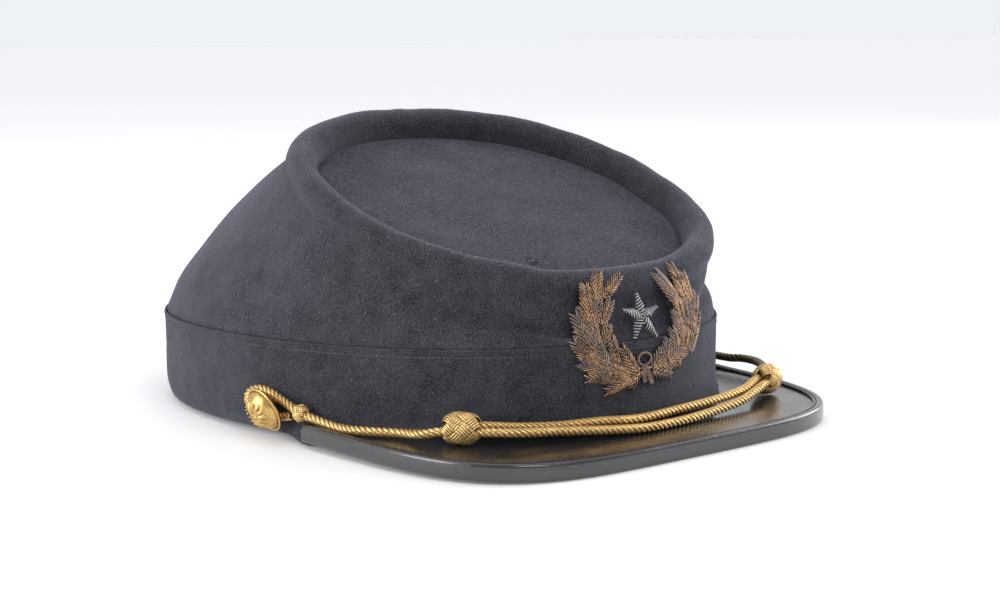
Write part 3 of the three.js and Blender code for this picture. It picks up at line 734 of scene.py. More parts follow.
def tarnished_wire():
    """Fine wires that run round a strand, bright on its crown, with patchy tarnish and with painted shade
    on the strand's sides and between its coils.
    """
    if "Tarnished Wire" in bpy.data.node_groups:
        return bpy.data.node_groups["Tarnished Wire"]
    tree, given, out = new_group("Tarnished Wire", (
        ("Bright", "Color", (0.8, 0.5, 0.15, 1)), ("Dull", "Color", (0.16, 0.08, 0.03, 1)),
        ("Aged And Shaded", "Color", (0.2, 0.18, 0.18, 1)), ("Tarnish", "Float", 0.4),
        ("Groove Shade", "Float", 0.6), ("Ageing And Shade", "Float", 0.4), ("Coils", "Float", 3600.0),
        ("Crown", "Float", 0.72)),
        (("Color", "Color"), ("Roughness", "Float"), ("Height", "Float")))
    place = object_place(tree)
    run = add_node(tree, "ShaderNodeAttribute", attribute_name="run").outputs["Vector"]
    tone = add_node(tree, "ShaderNodeAttribute", attribute_name="tone").outputs["Fac"]
    parts = add_node(tree, "ShaderNodeSeparateXYZ", {"Vector": run}).outputs
    turn = maths(tree, "ARCTAN2", parts["Z"], parts["Y"])
    coil = maths(tree, "SINE", maths(tree, "MULTIPLY_ADD", parts["X"], given["Coils"], turn))
    coil = maths(tree, "MULTIPLY_ADD", coil, 0.5, 0.5)
    # The strand's sides away from its crown are darkened towards the dull colour: painted shade between
    # the strands
    groove = product(tree, ranged(tree, parts["Z"], 0.05, given["Crown"], 1.0, 0.0), given["Groove Shade"])
    broad = noise(tree, place, WIRE_BLOTCHES, 3, 0.6)
    spots = noise(tree, place, WIRE_SPOTS, 2, 0.65)
    worn = maths(tree, "MULTIPLY_ADD", ranged(tree, broad, 0.38, 0.66), 0.5,
                 product(tree, ranged(tree, spots, 0.40, 0.60), 0.5))
    # The worn patches are real tarnish; the troughs between the coils are darkened a little as painted
    # shade
    dull = maths(tree, "ADD", product(tree, worn, given["Tarnish"]),
                 product(tree, maths(tree, "SUBTRACT", 1, coil), 0.14))
    dull = maths(tree, "MINIMUM", maths(tree, "ADD", dull, groove), 1)
    wire = mixed(tree, dull, given["Bright"], given["Dull"])
    # Tone pulls the wire towards the aged colour: real greying on the embroidery, painted shade at the
    # knots' tucked ends and cores, and a darker run of the cord behind the cap
    age_and_shade = product(tree, ranged(tree, tone, 0.2, 1.0), given["Ageing And Shade"])
    tree.links.new(mixed(tree, age_and_shade, wire, given["Aged And Shaded"]), out["Color"])
    tree.links.new(ranged(tree, dull, 0, 1, 0.22, 0.55), out["Roughness"])
    tree.links.new(coil, out["Height"])
    return tree


def crazed_lacquer():
    """Fine cracks, scratches and dullness of old lacquered leather."""
    if "Crazed Lacquer" in bpy.data.node_groups:
        return bpy.data.node_groups["Crazed Lacquer"]
    tree, given, out = new_group("Crazed Lacquer", (
        ("Leather", "Color", (0.006, 0.006, 0.007, 1)), ("Worn", "Color", (0.05, 0.035, 0.025, 1)),
        ("Cracks", "Float", 0.5), ("Dullness", "Float", 0.2), ("Grain", "Vector", (1, 1, 1))),
        (("Color", "Color"), ("Roughness", "Float"), ("Height", "Float")))
    place = object_place(tree)
    wobble = add_node(tree, "ShaderNodeTexNoise", {
        "Vector": place, "Scale": CRACK_WOBBLES, "Detail": 2.0})
    bent = add_node(tree, "ShaderNodeVectorMath", {
        0: wobble.outputs["Color"], 1: (CRACK_WOBBLE, CRACK_WOBBLE, CRACK_WOBBLE), 2: place},
        operation="MULTIPLY_ADD")
    stretched = add_node(tree, "ShaderNodeMapping", {
        "Vector": bent.outputs[0], "Scale": (1.0, 2.6, 1.0), "Rotation": (0, 0, 0.25)})
    cells = add_node(tree, "ShaderNodeTexVoronoi", {
        "Vector": stretched.outputs[0], "Scale": CRACK_CELLS}, feature="DISTANCE_TO_EDGE")
    crack = ranged(tree, cells.outputs["Distance"], 0.0, 0.07, 1.0, 0.0)
    patches = ranged(tree, noise(tree, place, CRACK_PATCHES, 3, 0.6), 0.42, 0.62)
    crack = product(tree, product(tree, crack, patches), given["Cracks"])
    streaks = add_node(tree, "ShaderNodeMapping", {"Vector": place, "Scale": (90.0, 1500.0, 900.0),
                                                   "Rotation": (0, 0, 0.5)})
    scratch = ranged(tree, noise(tree, streaks.outputs[0], 1.0, 2, 0.6), 0.66, 0.74)
    dull = maths(tree, "ADD", product(tree, noise(tree, place, LACQUER_PATCHES, 4, 0.6),
                                    given["Dullness"]), product(tree, scratch, 0.12))
    tree.links.new(maths(tree, "ADD", dull, product(tree, crack, 0.25)), out["Roughness"])
    worn = product(tree, maths(tree, "MAXIMUM", crack, product(tree, scratch, 0.5)),
                 0.5)
    tree.links.new(mixed(tree, worn, given["Leather"], given["Worn"]), out["Color"])
    grained = add_node(tree, "ShaderNodeVectorMath", {0: place, 1: given["Grain"]},
                       operation="MULTIPLY").outputs[0]
    rough = noise(tree, grained, LEATHER_GRAIN, 3, 0.6)
    tree.links.new(maths(tree, "SUBTRACT", product(tree, rough, 0.5), crack), out["Height"])
    return tree


def new_material(name, **settings):
    """A material with one Principled shader whose plain sockets are set here."""
    material = bpy.data.materials.new(name)
    material.use_nodes = True
    tree = material.node_tree
    shader = tree.nodes["Principled BSDF"]
    for key, value in settings.items():
        shader.inputs[key.replace("_", " ")].default_value = value
    return material, tree, shader


def feed(tree, shader, **outputs):
    """Links each output to the shader's socket of that name."""
    for key, output in outputs.items():
        tree.links.new(output, shader.inputs[key.replace("_", " ")])


def bumped(tree, shader, height, strength, distance):
    bump = add_node(tree, "ShaderNodeBump", {
        "Strength": strength, "Distance": distance, "Height": height})
    feed(tree, shader, Normal=bump.outputs["Normal"])


NAP_HEIGHT = 0.00024
WIRE_METALLIC = 0.72


def cloth_material(name="Dark Wool", rubbing=0.35, sheen=0.24, coarseness=1.0, eaten=None):
    """Fulled wool. Eaten is the middle of a small moth hole, whose inside is painted near-black as shade.
    """
    if name in bpy.data.materials:
        return bpy.data.materials[name]
    chosen = colours()
    material, tree, shader = new_material(
        name, Roughness=0.92, Sheen_Weight=sheen, Sheen_Roughness=0.45,
        Sheen_Tint=(0.78, 0.80, 1.0, 1), Specular_IOR_Level=0.12)
    nap = use_group(tree, felted_nap(), {
        "Dark": chosen.cloth, "Pale": chosen.cloth_faded, "Lint": chosen.lint,
        "Scale": 1 / (sizes().nap_scale * coarseness), "Rubbing": rubbing})
    colour = nap["Color"]
    if eaten:
        around = add_node(tree, "ShaderNodeVectorMath", {0: object_place(tree), 1: eaten},
                          operation="DISTANCE").outputs["Value"]
        frayed = noise(tree, object_place(tree), 900, 2, 0.6)
        ragged = maths(tree, "MULTIPLY_ADD", frayed, 0.0026, around)
        # Round the moth hole the wool is painted near-black: painted shade for the inside of the hole
        colour = mixed(tree, ranged(tree, ragged, 0.0032, 0.0037, 1.0, 0.0), colour,
                       (0.002, 0.002, 0.002, 1))
    feed(tree, shader, Base_Color=colour)
    bumped(tree, shader, nap["Height"], 0.9, NAP_HEIGHT)
    return material


def wire_material(name, bright, dull, age_and_shade=None, tarnish=0.5, groove_shade=0.6, ageing_and_shade=0.3,
                  coils=5200.0, relief=0.00005, crown=0.72):
    """Metal wire whose strands are darkened between their crowns: painted shade."""
    if name in bpy.data.materials:
        return bpy.data.materials[name]
    material, tree, shader = new_material(name, Metallic=WIRE_METALLIC)
    wire = use_group(tree, tarnished_wire(), {
        "Bright": bright, "Dull": dull, "Aged And Shaded": age_and_shade or dull, "Tarnish": tarnish,
        "Groove Shade": groove_shade, "Ageing And Shade": ageing_and_shade, "Coils": coils, "Crown": crown})
    feed(tree, shader, Base_Color=wire["Color"], Roughness=wire["Roughness"])
    bumped(tree, shader, wire["Height"], 0.7, relief)
    return material


def leather_material(name="Lacquered Leather", cracks=0.7, dullness=0.36, grain=(1, 1, 1),
                     relief=0.00012):
    if name in bpy.data.materials:
        return bpy.data.materials[name]
    material, tree, shader = new_material(
        name, Coat_Weight=0.4, Coat_Roughness=0.24, Coat_IOR=1.5, IOR=1.66)
    lacquer = use_group(tree, crazed_lacquer(), {
        "Leather": colours().leather, "Cracks": cracks, "Dullness": dullness, "Grain": grain})
    feed(tree, shader, Base_Color=lacquer["Color"], Roughness=lacquer["Roughness"])
    bumped(tree, shader, lacquer["Height"], 0.5, relief)
    return material


def thread_material(name, colour):
    if name in bpy.data.materials:
        return bpy.data.materials[name]
    material, tree, shader = new_material(name, Roughness=0.75, Sheen_Weight=0.2)
    place = object_place(tree)
    tint = mixed(tree, noise(tree, place, 1400, 2, 0.6), colour,
                 tuple(min(1, 1.9 * c) for c in colour[:3]) + (1,))
    feed(tree, shader, Base_Color=tint)
    bumped(tree, shader, noise(tree, place, 3000, 2, 0.6), 0.6, 0.00005)
    return material


# The pieces

def make_stage():
    """The camera, the pale floor, the sky and the soft lights."""
    scene = bpy.context.scene
    a, e = CAMERA_AZIMUTH, CAMERA_ELEVATION
    back = Vector((math.sin(a) * math.cos(e), -math.cos(a) * math.cos(e), math.sin(e)))
    right = Vector((math.cos(a), math.sin(a), 0))
    up = back.cross(right)
    right, up = (right * math.cos(CAMERA_ROLL) + up * math.sin(CAMERA_ROLL),
                 up * math.cos(CAMERA_ROLL) - right * math.sin(CAMERA_ROLL))
    aim = right * CAMERA_AIM[0] + up * CAMERA_AIM[1]
    camera = bpy.data.objects.new("camera", bpy.data.cameras.new("camera"))
    camera.matrix_world = Matrix((right, up, back)).transposed().to_4x4()
    camera.location = aim + back * CAMERA_DISTANCE + Vector((0, CAP_CENTRE_Y, 0))
    camera.data.lens = CAMERA_LENS
    camera.data.clip_start, camera.data.clip_end = 0.01, 100
    scene.collection.objects.link(camera)
    scene.camera = camera
    make_floor(scene)
    make_lights(scene)


FLOOR_GLOW_NEAR = 0.12
FLOOR_GLOW_FAR = 0.245


def make_floor(scene):
    radius, sides = 30, 96
    turns = [2 * math.pi * i / sides for i in range(sides)]
    mesh = bpy.data.meshes.new("floor")
    mesh.from_pydata([(radius * math.cos(t), radius * math.sin(t), 0) for t in turns], [],
                     [list(range(sides))])
    floor = bpy.data.objects.new("floor", mesh)
    material, tree, shader = new_material(
        "Pale Floor", Roughness=0.6, Specular_IOR_Level=0.2, Emission_Strength=1.0)
    place = object_place(tree)
    tint = mixed(tree, noise(tree, place, 2.0, 2, 0.5), (0.89, 0.895, 0.90, 1), (0.91, 0.91, 0.91, 1))
    feed(tree, shader, Base_Color=tint)
    away = add_node(tree, "ShaderNodeVectorMath", {0: place}, operation="LENGTH").outputs["Value"]
    glow = ranged(tree, away, 0.6, 2.6, FLOOR_GLOW_NEAR, FLOOR_GLOW_FAR)
    grey = add_node(tree, "ShaderNodeCombineColor", {0: glow, 1: glow, 2: glow})
    feed(tree, shader, Emission_Color=grey.outputs[0])
    mesh.materials.append(material)
    scene.collection.objects.link(floor)


LIGHTS = (
    {"name": "overhead", "at": (0.1, 0.5, 1.5), "size": 1.8, "watts": 6.0},
    {"name": "left", "at": (-1.5, 0.35, 0.55), "size": 0.9, "watts": 15.0},
    {"name": "right", "at": (1.4, -0.25, 0.6), "size": 0.9, "watts": 12.0},
    {"name": "front", "at": (-0.3, -1.3, 0.9), "size": 0.6, "watts": 6.0},
)
SKY_LOW = (0.86, 0.885, 0.905, 1)
SKY_HIGH = (0.80, 0.81, 0.84, 1)
SKY_DARK = (0.33, 0.33, 0.35, 1)
DARK_SIDE = (-0.35, -0.92, 0.18)


def make_sky(scene):
    """A pale sky that is darker towards the camera's side of the room."""
    world = bpy.data.worlds.new("Soft Sky")
    world.use_nodes = True
    tree = world.node_tree
    direction = add_node(tree, "ShaderNodeTexCoord").outputs["Generated"]
    height = add_node(tree, "ShaderNodeSeparateXYZ", {"Vector": direction}).outputs["Z"]
    pale = mixed(tree, ranged(tree, height, 0.02, 0.6), SKY_LOW, SKY_HIGH)
    towards = add_node(tree, "ShaderNodeVectorMath", {0: direction, 1: DARK_SIDE},
                       operation="DOT_PRODUCT").outputs["Value"]
    sky = mixed(tree, ranged(tree, towards, 0.15, 0.85), pale, SKY_DARK)
    tree.links.new(sky, tree.nodes["Background"].inputs["Color"])
    scene.world = world


def make_lights(scene):
    make_sky(scene)
    for row in LIGHTS:
        data = bpy.data.lights.new(row["name"], "AREA")
        data.size = row["size"]
        data.energy = row["watts"]
        light = bpy.data.objects.new(row["name"], data)
        light.location = row["at"]
        light.rotation_euler = (-Vector(row["at"])).to_track_quat("-Z", "Y").to_euler()
        scene.collection.objects.link(light)
    scene.view_settings.view_transform = "Standard"


ROPE_FULLNESS = 1.12
STRAND_SHARES = {2: 0.56, 3: 0.52, 4: 0.46}
STRAND_SIDES = 9
CORD_STEPS_PER_LAY = 22
SHADED_FROM = -0.088
SHADED_BY = -0.076


def twisted_rope(maker, line, diameter, lay, strands, tone):
    """Strands laid round a line. Each strand is a closed tube of its own."""
    across, over = carried_frames(line)
    lengths = run_lengths(line)
    strand = diameter * STRAND_SHARES[strands]
    ring = (diameter - strand) / 2
    for k in range(strands):
        turn = (2 * np.pi * (lengths / lay + k / strands))[:, None]
        outward = across * np.cos(turn) + over * np.sin(turn)
        maker.add_tube(line + outward * ring, outward, strand, sides=STRAND_SIDES,
                       tone=np.repeat(tone, STRAND_SIDES))


def make_cord(side, route):
    """One cord. The left one is darker where it runs behind the cap."""
    line, length = resampled(catmull_rom(np.array(route) * MM), sizes().cord_lay / CORD_STEPS_PER_LAY)
    darkened = np.zeros(len(line))
    if side == "left":
        darkened = smooth_step(SHADED_FROM, SHADED_BY, line[:, 1])
    maker = MeshMaker()
    twisted_rope(maker, line, CORD_DIAMETER * ROPE_FULLNESS, sizes().cord_lay, sizes().cord_strands,
                 0.2 + 0.8 * darkened)
    # The tarnish colour darkens the strands' sides between their crowns: painted shade
    material = wire_material(
        "Gold Cord", colours().gold_thread, colours().tarnish, age_and_shade=(0.035, 0.031, 0.020, 1),
        tarnish=0.30, groove_shade=0.95, ageing_and_shade=0.9)
    cord = settle(maker.make("rope_" + side, material), "gold_cord", "chin_cord_" + side)


def barrel(place, wire):
    """The surface of a knot: along is -1 to 1 from end to end, over its rounded ends."""
    centre, axis = np.array(place["centre"]) * MM, unit(np.array(place["axis"], float))
    radius, half = place["radius"] * MM - wire, place["length"] * MM / 2 - wire
    side, top = across_axis(axis)
    lean = np.linspace(-1, 1, 201) * math.radians(83)
    reach = radius * np.cos(lean) ** 0.62
    height = half * np.sign(lean) * np.abs(np.sin(lean)) ** 0.86
    arc = np.concatenate(([0], np.cumsum(np.hypot(np.diff(reach), np.diff(height)))))
    arc = 2 * arc / arc[-1] - 1

    def surface(along, angle, lift):
        r = np.interp(along, arc, reach)
        h = np.interp(along, arc, height)
        slope = np.interp(along, arc, np.gradient(reach) / (np.gradient(height) + 1e-9))
        out = side * np.cos(angle)[:, None] + top * np.sin(angle)[:, None]
        facing = unit(out - axis * slope[:, None])
        return centre + axis * h[:, None] + out * r[:, None] + facing * lift[:, None], facing

    return surface, lambda along: np.interp(along, arc, reach)


KNOT_ROWS = 4
BANDS_PER_ROW = 5
KEEPER_WIRES = 3
WEAVE_REACH = 0.93
TUCKED_PAST = 1.25
# How much darker each wire grows where it tucks under its neighbour: painted shade
TUCKED_SHADE = 0.75


def woven_knot(maker, place, wires):
    """A barrel of plaited bands. Each visible part of a band is a short arch of wires side by
    side, and the arches of neighbouring rows lean opposite ways and tuck under one another."""
    radius = place["radius"] * MM
    wire = 2 * np.pi * radius / BANDS_PER_ROW / math.sqrt(2) / wires
    surface, radius_at = barrel(place, wire)
    random = np.random.default_rng(SEED)
    step = 2 * WEAVE_REACH / (KNOT_ROWS + 1)
    t = np.linspace(-1, 1, 9)
    bowed = TUCKED_PAST * t
    arch = np.cos(np.pi / 2 * t) ** 0.4
    sides = 8
    for row in range(KNOT_ROWS):
        middle = (row - (KNOT_ROWS - 1) / 2) * step
        lean = 1 if row % 2 else -1
        size = wire * max(0.5, float(radius_at(middle)) / radius) ** 0.8
        for i in range(BANDS_PER_ROW):
            start = 2 * np.pi * (i + 0.5 * (row % 2)) / BANDS_PER_ROW
            tone = random.uniform(0.1, 0.35)
            for k in range(wires):
                s = (2 * k + 1) / wires - 1
                along = middle + step * lean * 0.5 * (bowed - s)
                angle = start + np.pi / BANDS_PER_ROW * 0.5 * (bowed + s)
                lift = size * (0.75 * arch - 0.5 + 0.12 * (1 - s * s))
                line, out = surface(np.clip(along, -0.99, 0.99), angle, lift)
                # The tone rises towards the ends of each arch, where it tucks under: painted shade
                maker.add_tube(line, out, size * 0.97, size * 0.8, sides=sides,
                               tone=np.repeat(tone + TUCKED_SHADE * np.abs(t) ** 4, sides))
    # The core shows between the bands in the darkest tone: painted shade
    turns = round_turns(24)
    core = [surface(np.full(24, a), turns, np.full(24, -0.75 * wire))[0]
            for a in np.linspace(-0.98, 0.98, 25)]
    maker.add_grid(np.array(core), False, True, 1.0, caps=True)


def make_knots():
    """The two slides and the two small keepers."""
    # The tarnish colour in the wires' grooves and the dark aged colour at the tucked ends and on the core
    # are painted shade
    material = wire_material(
        "Knot Wire", (0.98, 0.66, 0.28, 1), colours().tarnish, age_and_shade=(0.17, 0.085, 0.035, 1),
        tarnish=0.05, groove_shade=0.85, ageing_and_shade=0.7, crown=0.85)
    for kind, side, place, wires in (
            ("slide", "right", SLIDE_RIGHT, sizes().knot_wires),
            ("slide", "left", SLIDE_LEFT, sizes().knot_wires),
            ("keeper", "right", KEEPER_RIGHT, KEEPER_WIRES),
            ("keeper", "left", KEEPER_LEFT, KEEPER_WIRES)):
        maker = MeshMaker()
        woven_knot(maker, place, wires)
        settle(maker.make(f"{kind}_knot_{side}", material), "gold_cord", f"cord_{kind}_{side}")


def button_frame(sign):
    """The foot of a button's shank and the way it faces. The cord pulls it down and back."""
    angle = np.array(sign * BUTTON_ANGLE)
    outward = band_outward(angle)
    turn = sign * BUTTON_TURN_BACK
    axis = np.array((outward[0] * math.cos(turn) - outward[1] * math.sin(turn),
                     outward[0] * math.sin(turn) + outward[1] * math.cos(turn), 0))
    axis = axis * math.cos(BUTTON_DROOP) - np.array((0, 0, math.sin(BUTTON_DROOP)))
    foot = band_point(angle, 0.0)
    foot[2] = BUTTON_HEIGHT
    lean = math.sin(math.acos(float(np.dot(axis, outward))))
    return foot + outward * (SEAM_GAP + SHANK_RADIUS * lean), axis


def button_relief(radius, turn):
    """Height of the stamped face: a spray of leaves round a shield, under a row of beads."""
    x, y = radius * np.sin(turn), radius * np.cos(turn)
    height = np.zeros_like(radius)
    for lean in (-128, -96, -64, 64, 96, 128, 180, 205, 155):
        bend = math.radians(lean)
        along = x * math.sin(bend) + y * math.cos(bend)
        aside = x * math.cos(bend) - y * math.sin(bend)
        inside = 1 - ((along - 0.40) / 0.27) ** 2 - (aside / 0.10) ** 2
        leaf = np.sqrt(np.clip(inside, 0, 1)) - 0.25 * np.exp(-(aside / 0.015) ** 2) * (inside > 0)
        height = np.maximum(height, leaf * 0.75)
    shield = 1 - (np.abs(x) / 0.17) ** 4 - (np.abs(y + 0.04) / 0.24) ** 4
    bars = 0.12 * np.sin(x * 90)
    height = np.maximum(height, np.clip(shield, 0, 0.7) * (1 + bars))
    for i in range(7):
        spread = math.radians(-54 + 18 * i)
        distance = np.hypot(x - 0.58 * math.sin(spread), y - 0.58 * math.cos(spread))
        height = np.maximum(height, np.sqrt(np.clip(1 - (distance / 0.055) ** 2, 0, 1)))
    return height * RELIEF_HEIGHT


def make_buttons():
    """Domed gilt buttons with a flat raised rim and a stamped face."""
    rings, spokes = 64, 144
    # The back, down its shank: reach as a share of the radius, and height
    profile_back = ((1.0, 0.0005), (0.985, 0.0), (0.9, -0.0001), (0.25, 0.0), (0.216, -0.0004),
                    (0.216, -0.0039))
    for side, sign in (("right", -1), ("left", 1)):
        foot, axis = button_frame(sign)
        across, top = across_axis(axis)
        turn = round_turns(spokes)
        share = np.linspace(0.012, 1, rings)[:, None]
        dome = (BUTTON_DOME - 0.0004) * np.clip(1 - (share / DOME_SHARE) ** 2.6, 0, 1) ** 0.7
        dome = dome + button_relief(share, turn[None, :]) * smooth_step(0.84, 0.78, share)
        rim = RIM_BEAD * smooth_step(DOME_SHARE, 0.92, share)
        height = dome + rim + BUTTON_RIM * 0.55
        height = height - 0.0003 * smooth_step(0.96, 1.0, share)
        reach = share * BUTTON_RADIUS
        rows = [(r * BUTTON_RADIUS, np.full(spokes, h)) for r, h in profile_back]
        rows = [(float(r), h) for r, h in zip(reach[:, 0], height)] + rows
        out = across[None, :] * np.cos(turn)[:, None] + top[None, :] * np.sin(turn)[:, None]
        grid = np.array([
            foot + out * r + axis * (BUTTON_STANDOFF + h)[:, None] for r, h in rows])
        maker = MeshMaker()
        maker.add_grid(grid, False, True, 0.3, caps=True)
        settle(maker.make("gilt_button_" + side, gilt_material()), "gilt", "button_" + side)


def gilt_material():
    if "Worn Gilt" in bpy.data.materials:
        return bpy.data.materials["Worn Gilt"]
    material, tree, shader = new_material("Worn Gilt", Metallic=1.0)
    place = object_place(tree)
    # Pointiness darkens the hollows of the stamped face towards the tarnish colour: painted shade. The
    # noise patches are real tarnish.
    hollow = add_node(tree, "ShaderNodeNewGeometry").outputs["Pointiness"]
    painted_hollow_shade = ranged(tree, hollow, 0.45, 0.505, 1.0, 0.0)
    patches = ranged(tree, noise(tree, place, 420, 3, 0.6), 0.42, 0.68)
    dull = maths(tree, "MINIMUM", maths(tree, "MULTIPLY_ADD", patches, 0.35,
                                        product(tree, painted_hollow_shade, 0.85)), 1)
    feed(tree, shader, Base_Color=mixed(tree, dull, colours().gold, colours().tarnish),
         Roughness=ranged(tree, dull, 0, 1, 0.30, 0.55))
    bumped(tree, shader, noise(tree, place, 2600, 2, 0.6), 0.35, 0.00004)
    return material


def even_angles(count=360):
    """Angles all round, closer together by the front and back seams."""
    coarse = np.linspace(-np.pi, np.pi, count, endpoint=False)
    fine = np.concatenate([np.radians(middle + np.arange(-3, 3.01, 0.22)) for middle in (0, -180)])
    fine = (fine + np.pi) % (2 * np.pi) - np.pi
    far = np.abs(np.sin(coarse)) > math.sin(math.radians(3.2))
    return np.sort(np.unique(np.round(np.concatenate((coarse[far], fine)), 6)))


def make_crown():
    """The crown's side, its rolled rim and the wall inside the rim, as one cloth."""
    angle = even_angles()[:, None]
    level = np.ones_like(angle)
    rows = []
    for drop, inset in ((0.0010, 0.0003), (0.0002, 0.0003)):
        rows.append(band_point(angle, BAND_HEIGHT - drop, -SEAM_STEP_IN - inset))
    rows += [side_point(angle, h * level) for h in np.linspace(0.004, 1, 46)]
    rows += [roll_point(angle, t * level, ROLL_RADIUS)
             for t in np.radians(np.linspace(-16, 180, 26))]
    wall_foot = -TOP_DEPTH - TOP_THICKNESS
    inner_radius = ROLL_RADIUS - CROWN_THICKNESS
    rows += [rim_point(angle, -ROLL_RADIUS, up) for up in np.linspace(-0.001, wall_foot, 4)]
    rows += [rim_point(angle, -inner_radius, wall_foot)]
    rows += [roll_point(angle, t * level, inner_radius, False)
             for t in np.radians(np.linspace(180, 0, 9))]
    rows += [side_point(angle, h * level, CROWN_THICKNESS, False)
             for h in np.linspace(0.94, 0.02, 22)]
    rows += [band_point(angle, BAND_HEIGHT - 0.001, -SEAM_STEP_IN - 0.0017)]
    settle_grid("crown_cloth", np.concatenate(rows, axis=1), cloth_material(), "cloth", "crown", True)


def make_crown_top():
    """The sunken top, a little slack, sewn into the wall inside the rim."""
    angle = even_angles(240)
    shares = np.sin(np.linspace(0.01, 1, 44) * np.pi / 2)
    middle, normal = top_plane()

    def ring(share, up):
        edge = rim_point(angle, -ROLL_RADIUS - 0.00006)
        place = middle + (edge - middle) * share
        slack = -TOP_SLACK * np.cos(np.pi * share / 2) + unevenness(place, TOP_WAVES)
        turned = -TOP_EDGE_TURN * smooth_step(0.965, 1.0, share)
        from_hole = np.linalg.norm(place - MOTH_HOLE, axis=-1)
        turned = turned - MOTH_HOLE_DEPTH * np.exp(-(from_hole / MOTH_HOLE_REACH) ** 2)
        return place + normal * (up + (slack + turned))[:, None]

    rows = [ring(s, -TOP_DEPTH) for s in shares]
    rows += [ring(1.0, -TOP_DEPTH - TOP_THICKNESS * 0.7)]
    rows += [ring(s, -TOP_DEPTH - TOP_THICKNESS * 0.7) for s in (0.9, 0.6, 0.3, 0.01)]
    # The top's wool is a copy of the crown's with less rubbing and sheen, toned down for the strong light
    # on the top: painted shade
    material = cloth_material("Sheltered Wool", rubbing=0.30, sheen=0.17, coarseness=2.0,
                              eaten=tuple(MOTH_HOLE + (0, CAP_CENTRE_Y, 0)))
    settle_grid("top_cloth", np.array(rows), material, "cloth", "crown_top")


def make_band():
    """The band, folded over at its top edge with a pocket for the crown's foot."""
    angle = even_angles()[:, None]
    profile = [(h, 0.0) for h in np.linspace(0.0008, 0.0262, 24)]
    profile = [(0.0, -0.0009), (0.0002, -0.0003)] + profile
    profile += [(0.0268, 0.00012), (0.0274, 0.0002), (0.02775, 0.00008), (0.0279, -0.00022),
                (0.02775, -0.00052), (0.0273, -0.00066), (0.0266, -0.0007), (0.0266, -0.0028)]
    profile += [(h, -0.0028) for h in np.linspace(0.022, 0.001, 8)] + [(0.0, -0.0022)]
    rows = []
    for height, offset in profile:
        place = band_point(angle, height, offset - hem_pull(angle, height))
        outer = 1.0 if offset > -0.0005 else 0.0
        bumps = outer * unevenness(place, BAND_WAVES)
        pucker = -outer * PUCKER_DEPTH * np.exp(-((height - STITCH_HEIGHT) / PUCKER_HALF_HEIGHT) ** 2)
        back = np.where(np.cos(angle) < 0, seam_distance(angle, BAND_ROUND_RADIUS), 1.0)
        relief = outer * seam_relief(back)
        edge = smooth_step(0.0, 0.002, height) * smooth_step(BAND_HEIGHT, BAND_HEIGHT - 0.001, height)
        flare = hem_flare(angle, height)
        place = place - points(0, 0, FLARE_DOWN * flare)
        rolled = np.exp(-((height - HEM_ROLL_HEIGHT) / HEM_ROLL_HALF_HEIGHT) ** 2)
        roll = HEM_ROLL * rolled * (np.cos(angle) > 0)
        outward = (bumps + relief) * edge + pucker + FLARE_OUT * flare + outer * roll
        rows.append(place + band_outward(angle) * outward[..., None])
    settle_grid("band_cloth", np.concatenate(rows, axis=1), cloth_material(), "cloth", "band", True)


def stitch_row(maker, line, outward, pitch, width, seed, closed=True):
    """Short raised stitches along a line, each sunk into the cloth at both ends."""
    random = np.random.default_rng(seed)
    whole = np.vstack((line, line[:1])) if closed else line
    facing = np.vstack((outward, outward[:1])) if closed else outward
    lengths = run_lengths(whole)
    count = int(lengths[-1] / pitch)
    shape = np.array((-0.40, -0.30, -0.1, 0.1, 0.30, 0.40))
    lift = np.array((-0.75, -0.1, 0.28, 0.28, -0.1, -0.75)) * width
    for i in range(count):
        at = (i + 0.5 + random.uniform(-0.05, 0.05)) * lengths[-1] / count + shape * pitch
        place = sampled(at, lengths, whole)
        out = unit(sampled(at, lengths, facing))
        maker.add_tube(place + out * lift[:, None], out, width * random.uniform(0.9, 1.1),
                       sides=6, tone=random.uniform(0, 1))


def make_band_stitches():
    angle = np.linspace(-np.pi, np.pi, 720, endpoint=False)
    line = band_point(angle, STITCH_HEIGHT, -0.00012)
    maker = MeshMaker()
    stitch_row(maker, line, band_outward(angle), sizes().stitch_pitch, sizes().stitch_width, 21)
    material = thread_material("Dark Thread", (0.035, 0.034, 0.036, 1))
    settle(maker.make("band_topstitching", material), "cloth")


def peak_outline(turn):
    y = PEAK_REAR_Y - (PEAK_REACH + PEAK_REAR_Y) * np.abs(np.sin(turn)) ** (2 / PEAK_POWER)
    taper = 1 + PEAK_TAPER * (y - PEAK_REAR_Y) / PEAK_REACH
    x = -PEAK_HALF_WIDTH * rounded(np.cos(turn), PEAK_POWER) * taper
    return np.stack((x, y), axis=-1)


def peak_floor(x, y):
    rear = np.clip((y + PEAK_REACH) / (PEAK_REACH + PEAK_REAR_Y), 0, 1)
    corner = PEAK_CORNER_LIFT * (x / PEAK_HALF_WIDTH) ** 2 * (1 - rear)
    return band_lift(PEAK_REAR_Y) * rear + corner


def peak_stations(count=300):
    """Points of the peak's outline, an even step apart, and the outward direction at each."""
    turn = np.linspace(0, np.pi, 4001)
    outline = peak_outline(turn)
    lengths = run_lengths(outline)
    at = np.linspace(0, lengths[-1], count)
    edge = sampled(at, lengths, outline)
    along = unit(np.gradient(edge, axis=0))
    return edge, np.stack((along[:, 1], -along[:, 0]), axis=1)


def in_plan(edge, outward, inward, height):
    place = edge - outward * inward
    return points(place[:, 0], place[:, 1], peak_floor(place[:, 0], place[:, 1]) + height)


